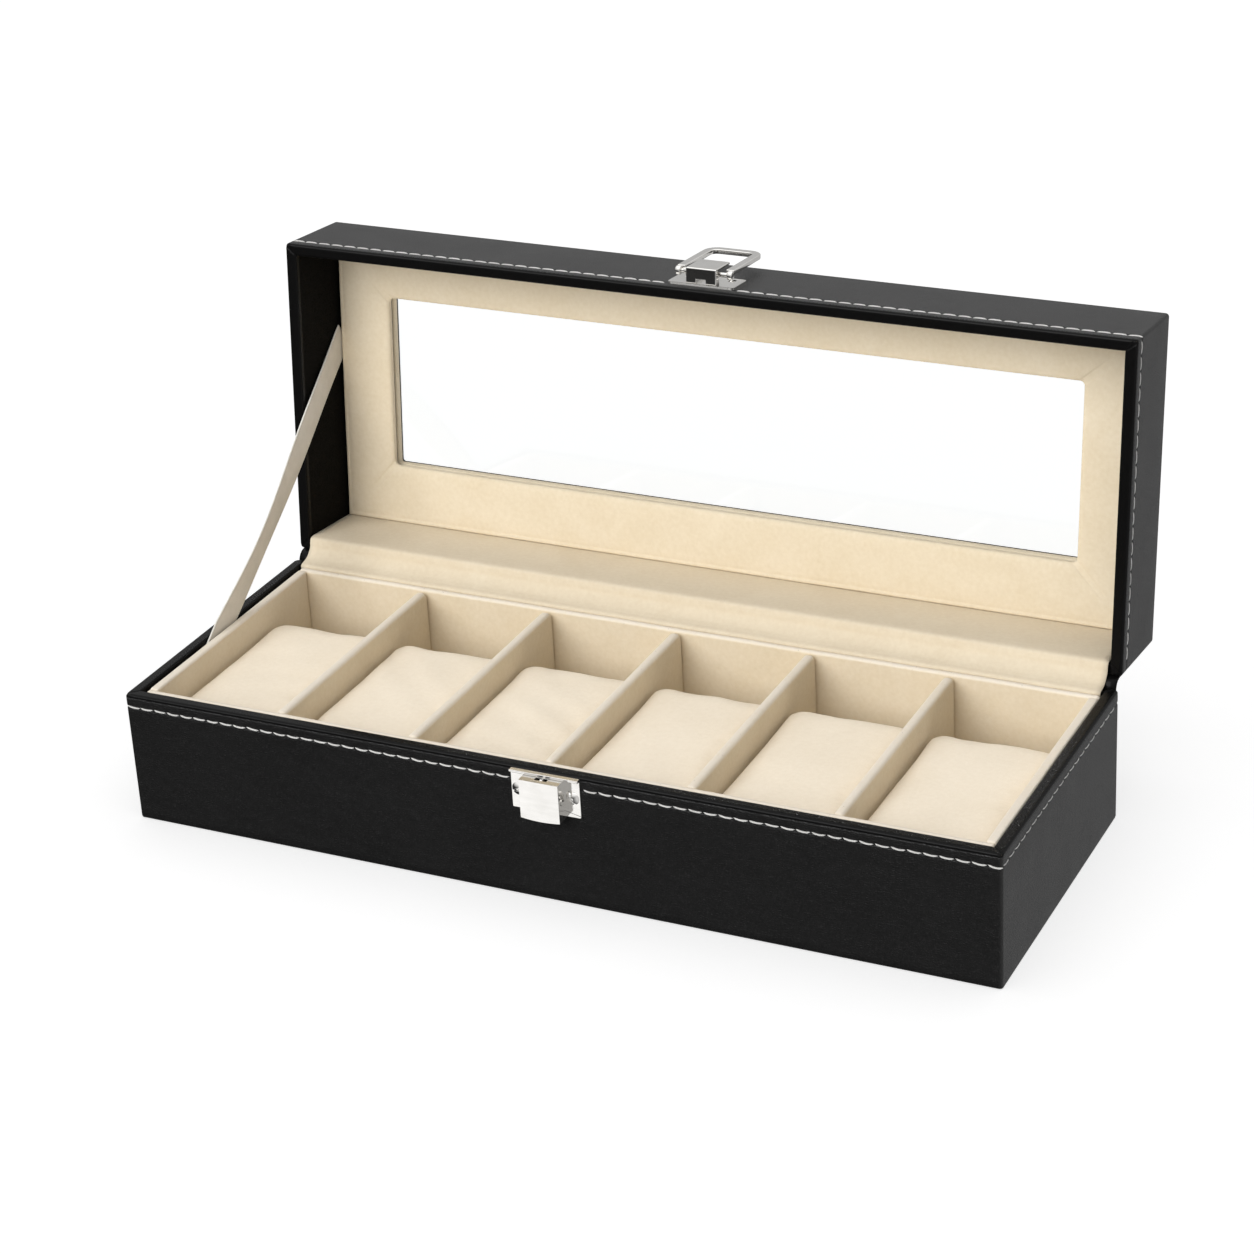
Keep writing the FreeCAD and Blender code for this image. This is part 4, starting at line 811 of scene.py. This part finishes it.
def evaluated(piece):
    """A new mesh of a piece with its modifiers applied."""
    graph = bpy.context.evaluated_depsgraph_get()
    return bpy.data.meshes.new_from_object(piece.evaluated_get(graph))


def fill_out(piece, floor_z, voxel=2.0, furthest=0.5):
    """Stretches a cushion's cover over its filling: cloth under an even inner pressure.

    The cover is remeshed evenly and blown out with no gravity, the slow part of every
    point's travel is kept up to a limit, and nothing sinks below the tray's floor.
    """
    even = piece.modifiers.new("even", "REMESH")
    even.mode = "VOXEL"
    even.voxel_size = voxel * MM
    mesh = evaluated(piece)
    piece.modifiers.clear()
    piece.data = mesh
    start = coordinates(mesh)
    cloth = piece.modifiers.new("cover", "CLOTH")
    cloth.settings.use_pressure = True
    cloth.settings.uniform_pressure_force = 4.0
    cloth.settings.effector_weights.gravity = 0.0
    cloth.point_cache.frame_end = 20
    for step in range(1, 19):
        bpy.context.scene.frame_set(step)
    travel = coordinates(evaluated(piece)) - start
    piece.modifiers.clear()
    bpy.context.scene.frame_set(1)
    far = np.linalg.norm(travel, axis=1, keepdims=True) + 1e-9
    limit = furthest * MM
    moved = start + travel / far * limit * np.tanh(far / limit)
    moved[:, 2] = np.maximum(moved[:, 2], floor_z)
    mesh.vertices.foreach_set("co", moved.astype(np.float32).ravel())
    mesh.polygons.foreach_set("use_smooth", np.ones(len(mesh.polygons), bool))
    mesh.update()
    finer = piece.modifiers.new("finer", "SUBSURF")
    finer.levels = finer.render_levels = 1


def cushion(number):
    """A stuffed cushion: a crowned, closed form with round corners and drawn-in sides.

    Level sections are one rounded rectangle scaled about its middle. The scale and the
    height run from the centre of the top, round the rolled edge, down the side and
    under to the centre of the bottom. Slow waves make each cushion a little different.
    """
    node = "pillow_%d" % number
    low, high = node_box(node)
    rng = np.random.default_rng(40 + number)
    half = (high - low) / 2
    back, front = 5.2 + rng.uniform(-0.7, 0.7), 3.6 + rng.uniform(-0.6, 0.6)
    outline, _ = densify(*box_outline(-half, half, [front, front, back, back], 12), 1.6)
    height, roll, foot = high[2] - low[2], 3.0, 3.0
    turn, toe = np.linspace(0, math.pi / 2, 11), np.linspace(0, math.pi / 2, 6)[1:]
    foot_in = foot / half[0] * (1 - np.cos(toe))
    inset = np.concatenate([
        1 - (1 - roll / half[0]) * np.linspace(0, 1, 16), roll / half[0] * (1 - np.sin(turn)),
        np.zeros(11), foot_in, np.linspace(foot_in[-1], 1.0, 10)[1:]])
    z = np.concatenate([
        np.full(16, height), height - roll * (1 - np.cos(turn)),
        np.linspace(height - roll, foot, 12)[1:], foot * (1 - np.sin(toe)), np.zeros(9)])
    plan = (1 - inset)[:, None, None] * outline
    u, v = plan[..., 0] / half[0], plan[..., 1] / half[1]
    tall = np.broadcast_to(z[:, None], u.shape).copy()
    upper = smooth_step((tall / height - 0.45) / 0.5)
    crown = 0.8 * (1 - np.clip(np.abs(u), 0, 1) ** 2.2) * (1 - np.clip(np.abs(v), 0, 1) ** 2.6)
    tall += upper * (crown - (1.0 + 0.3 * rng.normal()))
    points = np.concatenate([plan, tall[..., None]], axis=-1)
    wave = unevenness(points * np.array([2.6, 1.9, 1.5]), 1.0, 60 + number)
    ripple = unevenness(points * np.array([5.0, 6.0, 4.0]), 1.0, 80 + number)
    points[..., 2] += upper * (0.28 * wave + 0.06 * ripple)
    drawn = 0.35 * np.sin(math.pi * np.clip(tall / height, 0, 1)) ** 2
    pull = drawn * (0.35 + 0.65 * np.cos(math.pi * np.clip(v, -1, 1) / 2))
    points[..., 0] -= np.sign(u) * np.abs(u) ** 3 * (pull + 0.16 * (1 + wave))
    points[..., 1] -= np.sign(v) * np.abs(v) ** 3 * (
        drawn * np.cos(math.pi * np.clip(u, -1, 1) / 2) + 0.3 * (1 + ripple))
    points[..., :2] -= 0.1 * points[..., :2] / half[:2]
    points += np.array([*(low[:2] + high[:2]) / 2, low[2]])
    piece = make_piece("cushion_%d_velvet" % number, points,
                       grid_faces(*u.shape, close_columns=True), PILLOW_VELVET)
    fill_out(piece, low[2] * MM)
    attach(piece, "cushion_%d" % number)
    stand_in(piece, node)


# ---- Strips that cross the hinge, and the ribbon ----
def lid_point(y, z):
    """A point of the lid's side view, as (y, z) with the lid open."""
    return tuple(to_open_lid((0.0, y, z))[1:])


def hinge_strip(name, node, side_view, half_length, wave, material):
    """A side view carried along x, with slow waves across it, that bends at the hinge."""
    curve = catmull(side_view, 8)
    x = np.linspace(-half_length, half_length, 120)
    points = np.stack(np.broadcast_arrays(x, curve[:, :1], curve[:, 1:]), axis=-1)
    slope = np.gradient(curve, axis=0)
    slope /= np.linalg.norm(slope, axis=1, keepdims=True)
    normal = np.stack([-slope[:, 1], slope[:, 0]], axis=1)
    points[..., 1:] += wave(x, curve[:, :1])[..., None] * normal[:, None, :]
    piece = make_piece(name, points, grid_faces(*points.shape[:2]), material, merge=False)
    solidify(piece, 0.55)
    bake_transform(piece)
    stand_in(piece, node)


def hinge_lining():
    """Velvet from the lid's hinge wall, over its rim, down to behind the back liner."""
    side_view = [
        lid_point(-7.05, 27.6), lid_point(-7.1, 20.0), lid_point(-7.1, 10.0),
        lid_point(-7.15, 3.0), lid_point(-7.0, 1.0), lid_point(-6.5, 0.15),
        lid_point(-5.2, -0.2), (57.5, 49.7), (56.2, 48.2), (54.4, 47.0), (52.4, 46.35),
        (51.1, 46.1), (50.5, 45.6), (50.42, 44.4), (50.42, 38.0)]

    def wave(x, y):
        slow = np.sin(x / 11.0 + 0.6) + 0.6 * np.sin(x / 4.7 + 2.0)
        return 0.16 * np.exp(-((y - 55.0) / 2.2) ** 2) * slow

    # The lining takes the velvet copy whose colour is painted darker for shade.
    hinge_strip("hinge_velvet", "hinge_lining", side_view, 145.4, wave,
                SHADED_LINING_VELVET)


def hinge_leather():
    """Black strip on the base's back, round the joint and along the lid's back."""
    side_view = [
        (55.32, 33.0), (55.32, 39.0), (55.32, 44.2), (55.5, 45.8), (56.1, 46.9), (57.1, 47.75),
        lid_point(-2.2, 1.2), lid_point(-2.2, 4.0), lid_point(-2.2, 8.0), lid_point(-2.2, 13.0)]

    def wave(x, y):
        return 0.10 * np.exp(-((y - 56.4) / 1.0) ** 2) * np.sin(x / 7.0)

    hinge_strip("hinge_leather_fold", "hinge_leather", side_view, 149.0, wave,
                EDGE_LEATHER)


def stay_ribbon():
    """Satin ribbon: a flat band between its two slots, gently bowed and twisted.

    Across the band runs the direction square to its line in the end wall's plane. The
    twist turns that direction about the line by a sine of the way along.
    """
    foot = np.array([-145.4, -2.0, 45.7])
    head = np.array([-145.4, *lid_point(-71.6, FRAME_LOW)])
    run = np.linalg.norm(head - foot)
    line = (head - foot) / run
    t = np.concatenate([np.linspace(-11.0, 0, 8)[:-1], np.linspace(0, run, 60),
                        np.linspace(run, run + 3.6, 5)[1:]])
    free = np.clip(t / run, 0, 1)
    bow = np.sin(math.pi * free)
    centre = foot + t[:, None] * line
    centre[:, 0] += 1.3 * bow + 0.5 * np.sin(2 * math.pi * free)
    centre[:, 2] -= 0.8 * bow
    side = np.array([0.0, -line[2], line[1]])
    twist = np.radians(9.0) * bow + np.radians(7.0) * np.sin(2 * math.pi * free + 0.4) * bow
    across = (np.cos(twist)[:, None] * side
              + np.sin(twist)[:, None] * np.array([1.0, 0.0, 0.0]))
    w, width = np.linspace(-0.5, 0.5, 15), 10.5
    points = centre[:, None, :] + w[None, :, None] * width * across[:, None, :]
    points[..., 0] += 0.35 * bow[:, None] * (1 - (2 * w) ** 2)
    uv = np.stack(np.broadcast_arrays(w + 0.5, (t / width)[:, None]), axis=-1)
    piece = make_piece("stay_ribbon_satin", points, grid_faces(len(t), len(w)), SATIN, uv=uv,
                       merge=False)
    solidify(piece, 0.35)
    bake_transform(piece)
    stand_in(piece, "stay_ribbon")


# ---- Nickel hardware ----
def softened(node, body, width):
    """A copy of a metal piece with its doubles merged and its edges eased by a bevel."""
    name = node + "_nickel"
    mesh = nodes[node].data.copy()
    mesh.name = name
    work = bmesh.new()
    work.from_mesh(mesh)
    bmesh.ops.remove_doubles(work, verts=work.verts, dist=1e-6)
    bmesh.ops.dissolve_limit(work, angle_limit=math.radians(1.0), verts=work.verts,
                             edges=work.edges)
    bmesh.ops.recalc_face_normals(work, faces=work.faces)
    work.to_mesh(mesh)
    work.free()
    mesh.materials.clear()
    mesh.materials.append(NICKEL)
    mesh.polygons.foreach_set("use_smooth", np.full(len(mesh.polygons), False))
    piece = put(name, mesh)
    ease = piece.modifiers.new("eased edges", "BEVEL")
    ease.width = width * MM
    ease.segments = 2
    ease.limit_method = "ANGLE"
    ease.angle_limit = math.radians(40)
    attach(piece, body)
    stand_in(piece, node)


def joined(parts):
    """Several pairs of points and faces as one pair."""
    points, faces, offset = [], [], 0
    for part, quads in parts:
        points.append(part.reshape(-1, 3))
        faces += [[index + offset for index in face] for face in quads]
        offset += len(points[-1])
    return np.vstack(points), faces


def domed_heads(name, node, body, centres, radius, height, face_y, slot):
    """Domed heads seen along +y: a cap turned from a circular arc, cut by a screw slot."""
    radii = np.concatenate([np.linspace(0.0, radius, 26), [radius, radius - 0.3]])
    dome = (radius ** 2 + height ** 2) / (2 * height)
    arc = np.sqrt(dome ** 2 - radii ** 2) - (dome - height)
    arc[-2:] = (-0.12, -0.14)
    heads = []
    for x, z, turned in centres:
        shape, quads = turned_shape(np.stack([radii, arc], axis=1), 56)
        if slot:
            cross = np.abs(-shape[..., 0] * math.sin(turned) + shape[..., 1] * math.cos(turned))
            shape[:26, :, 2] -= smooth_step((0.36 - cross[:26]) / 0.12) * 0.42
        placed = np.stack([x + shape[..., 0], face_y - shape[..., 2], z + shape[..., 1]], axis=-1)
        last = shape.shape[0] * 56
        heads.append((placed, quads.tolist() + [list(range(last - 56, last))]))
    points, faces = joined(heads)
    points = to_open_lid(points) if body == "lid" else points
    stand_in(make_piece(name, points, faces, NICKEL, body), node)


def flip_ring():
    """The hasp's ring: a flat U with a round-cornered window, and rolled eyes on the pin.

    The U is one outline of eight corners, each turned with its own arc, and the slab
    over it has softly rolled edges. Each eye is a short tube round the pin.
    """
    half, arm, bar, thick = 10.0, 2.8, 3.0, 1.6
    low, far = PIN_Z + 0.6, PIN_Z + 26.4
    window = half - arm
    outline, normals = rounded_outline(
        [(-half, low), (-window, low), (-window, far - bar), (window, far - bar),
         (window, low), (half, low), (half, far), (-half, far)],
        [0.4, 0.4, -2.0, -2.0, 0.4, 0.4, 5.0, 5.0], steps=8)
    local, faces = rolled_slab(outline, normals, PIN_Y - thick, PIN_Y, 0.28, 4)
    parts = [(local[:, [0, 2, 1]] + (HARDWARE_X, 0, 0), faces)]
    outer, bore, eased = 1.5, 0.76, 0.25
    for side in (-1, 1):
        start, end = HARDWARE_X + side * half, HARDWARE_X + side * (half - 1.8)
        rim = [(bore, start), (bore, end), (outer - eased, end), (outer, end + side * eased),
               (outer, start - side * eased), (outer - eased, start), (bore, start)]
        shape, quads = turned_shape(rim, 32)
        parts.append((shape[..., [2, 0, 1]] + (0, PIN_Y, PIN_Z), quads))
    points, faces = joined(parts)
    stand_in(make_piece("flip_ring_nickel", to_open_lid(points), faces, NICKEL, "ring"),
             "hasp_ring")


def catch_pin():
    """A bright pin across the catch's slot: a short round bar with domed ends."""
    run = np.linspace(-1, 1, 9)
    path = np.stack(np.broadcast_arrays(HARDWARE_X, -58.1 + 0.75 * run, 44.15), axis=1)
    points, faces = tube(path, (1, 0, 0), 0.62 * np.sqrt(np.clip(1.05 - run ** 4, 0.05, 1)), 14)
    make_piece("catch_slot_pin", points, faces, NICKEL, "base")


def return_spring():
    """A wire wound three turns round the pin, with a leg on the plate and one on the arm."""
    coil, wire = 1.0, 0.21
    turns = np.linspace(0, 3 * 2 * math.pi, 90)
    x = HARDWARE_X - 5.83 - turns / (2 * math.pi) * 0.36
    winding = np.stack([x, coil * np.sin(turns), -coil * np.cos(turns)], axis=1)
    first = [[x[0] + 0.02, 2.95, 1.2], [x[0], 2.7, -0.2], [x[0], 1.3, -0.9]]
    last = [[x[-1], -0.55, -1.02], [x[-1] - 0.05, -0.4, 0.8], [x[-1] - 0.15, -0.3, 3.4]]
    path = np.vstack([catmull(first, 6)[:-1], winding, catmull(last, 6)[1:]])
    points, faces = tube(path, path * (0, 1, 1) + (0.3, 0, 0), wire, 8)
    points = to_open_lid(points + (0, PIN_Y, PIN_Z))
    stand_in(make_piece("return_spring_wire", points, faces, NICKEL, "lid"), "hasp_spring")


# ---- Everything in place ----
SLOT_FINISH = {
    "black_leather": LEATHER, "case_board": BOARD, "cream_velvet": VELVET,
    "pillow_velvet": PILLOW_VELVET, "satin_ribbon": SATIN, "white_thread": THREAD,
    "backing_cloth": FELT, "clear_pane": PANE, "polished_nickel": NICKEL}


def build():
    """Gives every kept node its slot's finish and makes every piece."""
    for part in frame["record"]["subparts"]:
        mesh = nodes[part["node"]].data
        mesh.materials.clear()
        mesh.materials.append(SLOT_FINISH[part["material_slot"]])
    base_leather()
    lid_leather()
    stitched_case("base_stitches", "base_stitching", 0.0, BASE_TOP - STITCH_INSET, -1, 11.8,
                  "base")
    stitched_case("lid_stitches", "lid_stitching", LID_MID_Y, LID_RIM + STITCH_INSET, 1, 11.7,
                  "lid")
    for name, plane, roll, radius in (("front", "XZ", 1.0, 1.1), ("back", "XZ", 1.0, 1.1),
                                      ("left", "YZ", 0.8, 0.9), ("right", "YZ", 0.8, 0.9)):
        velvet_board("%s_liner_velvet" % name, "tray_%s_liner" % name, plane, roll,
                     [radius] * 4, seed=len(name))
    for number in range(1, 6):
        velvet_board("divider_%d_velvet" % number, "divider_%d" % number, "YZ", 1.35,
                     [1.45, 1.45, 2.8, 1.45], swell=0.12, seed=30 + number)
    window_panel()
    window_reveal()
    flat_pad("tray_floor_velvet", "tray_floor_pad", 0.3, 0.12, VELVET, 51)
    flat_pad("underside_felt", "underside_sheet", 0.15, 0.05, FELT, 52)
    for number in range(1, 7):
        cushion(number)
    hinge_lining()
    hinge_leather()
    stay_ribbon()
    for node, body, width in (("catch_plate", "base", 0.22), ("catch_block", "base", 0.3),
                              ("hasp_plate", "lid", 0.2), ("hasp_bracket", "lid", 0.25)):
        softened(node, body, width)
    screw_z = BASE_TOP - 7.4
    domed_heads("catch_screw_heads", "catch_screws", "base",
                [(HARDWARE_X - 9.3, screw_z, 0.5), (HARDWARE_X + 9.3, screw_z, 1.9)],
                2.2, 1.0, -55.8, True)
    domed_heads("hasp_rivet_heads", "hasp_rivets", "lid",
                [(HARDWARE_X - 7.5, 12.5, 0.0), (HARDWARE_X + 7.5, 12.5, 0.0)],
                1.6, 0.5, -113.4, False)
    catch_pin()
    flip_ring()
    return_spring()


def floor():
    """A wide pale sheet that the box stands on."""
    mesh = bpy.data.meshes.new("floor")
    reach = 6.0
    mesh.from_pydata([(-reach, -reach, 0), (reach, -reach, 0), (reach, reach, 0),
                      (-reach, reach, 0)], [], [(0, 1, 2, 3)])
    piece = put("floor", mesh)
    material, tree, _ = new_material("pale floor", (0.75, 0.75, 0.75), 0.9)
    inputs = tree.nodes["Principled BSDF"].inputs
    inputs["Emission Color"].default_value = (1, 1, 1, 1)
    inputs["Emission Strength"].default_value = 0.60
    inputs["Specular IOR Level"].default_value = 0.0
    mesh.materials.append(material)
    piece.visible_glossy = False
    return piece


def soft_sky():
    """Studio surroundings: white to look at, a low even fill, and a shaped gloss.

    For gloss the surroundings are bright above, mid grey to the right and behind, and
    dark in front of the box and below it.
    """
    world = bpy.data.worlds.new("studio")
    bpy.context.scene.world = world
    world.use_nodes = True
    tree = world.node_tree
    tree.nodes.clear()
    place = tree.nodes.new("ShaderNodeTexCoord").outputs["Generated"]
    x, y, z = add(tree, "ShaderNodeSeparateXYZ", {0: place}).outputs
    level = maths(tree, "MAXIMUM", ramp(tree, z, -0.1, 0.55, 0.03, 1.12), maths(
        tree, "MAXIMUM", ramp(tree, x, -0.1, 0.6, 0.03, 0.72),
        ramp(tree, y, -0.1, 0.9, 0.03, 0.55)))
    rays = tree.nodes.new("ShaderNodeLightPath").outputs
    gloss, fill, seen = (
        add(tree, "ShaderNodeBackground", {"Color": (1, 1, 1, 1), "Strength": strength}).outputs[0]
        for strength in (level, 0.38, 1.0))
    mixed = add(tree, "ShaderNodeMixShader", {0: rays["Is Glossy Ray"], 1: fill, 2: gloss})
    mixed = add(tree, "ShaderNodeMixShader", {
        0: rays["Is Camera Ray"], 1: mixed.outputs[0], 2: seen})
    add(tree, "ShaderNodeOutputWorld", {0: mixed.outputs[0]})


def lit_by(lamp, pieces, state):
    """Says which pieces a lamp lights: these only (INCLUDE), or all others (EXCLUDE)."""
    group = bpy.data.collections.new(lamp.name + " group")
    for piece in pieces:
        group.objects.link(piece)
    for entry in group.collection_objects:
        entry.light_linking.link_state = state
    lamp.light_linking.receiver_collection = group


def reflector(name, pieces, middle, size, radiance):
    """A square card on the ground in front, which only the given pieces reflect."""
    data = bpy.data.lights.new(name, "AREA")
    data.size = size
    data.energy = radiance * math.pi * size ** 2
    lamp = put(name, data)
    lamp.location = (*middle, 0.001)
    lamp.rotation_euler = (math.pi, 0, 0)
    lamp.visible_camera = False
    lit_by(lamp, pieces, "INCLUDE")


def far_light(name, place, spread, strength):
    """A very distant soft light shining from a direction towards the box."""
    data = bpy.data.lights.new(name, "SUN")
    data.angle = math.radians(spread)
    data.energy = strength
    lamp = put(name, data)
    lamp.location = place
    lamp.rotation_euler = Vector(place).to_track_quat("Z", "Y").to_euler()
    return lamp


def camera():
    """A long lens at the front right, above the box."""
    data = bpy.data.cameras.new("camera")
    data.sensor_width = 36
    data.sensor_fit = "HORIZONTAL"
    data.lens = CAMERA_FOCAL / 1254 * 36
    data.clip_start = 0.05
    data.clip_end = 50
    lens = put("camera", data)
    right, down, ahead = (Vector(row) for row in CAMERA_ROWS)
    turn = Matrix((right, -down, -ahead)).transposed()
    lens.matrix_world = Matrix.Translation(Vector(CAMERA_PLACE) * MM) @ turn.to_4x4()
    bpy.context.scene.camera = lens


CAMERA_FOCAL = 3233.5
CAMERA_PLACE = (418.0, -818.8, 518.2)
CAMERA_ROWS = ((0.903174, 0.426172, -0.05152), (0.145881, -0.417583, -0.896852),
               (-0.403727, 0.802497, -0.43932))

build()
ground = floor()
nodes["window_pane"].visible_shadow = False
nodes["window_pane"].visible_diffuse = False
soft_sky()
nickel = [piece for piece in bpy.data.objects if piece.type == "MESH"
          and NICKEL.name in piece.data.materials]
key = far_light("key", (-0.45, -1.3, 0.85), 44, 2.3)
lit_by(key, [ground] + nickel, "EXCLUDE")
far_light("top", (0.05, -0.1, 1.6), 80, 0.72)
reflector("white card", nickel, (-0.036, -0.13), 0.08, 1.2)
reflector("grey card", nickel, (-0.23, -0.41), 0.14, 0.22)
camera()
scene = bpy.context.scene
scene.view_settings.view_transform = "Standard"
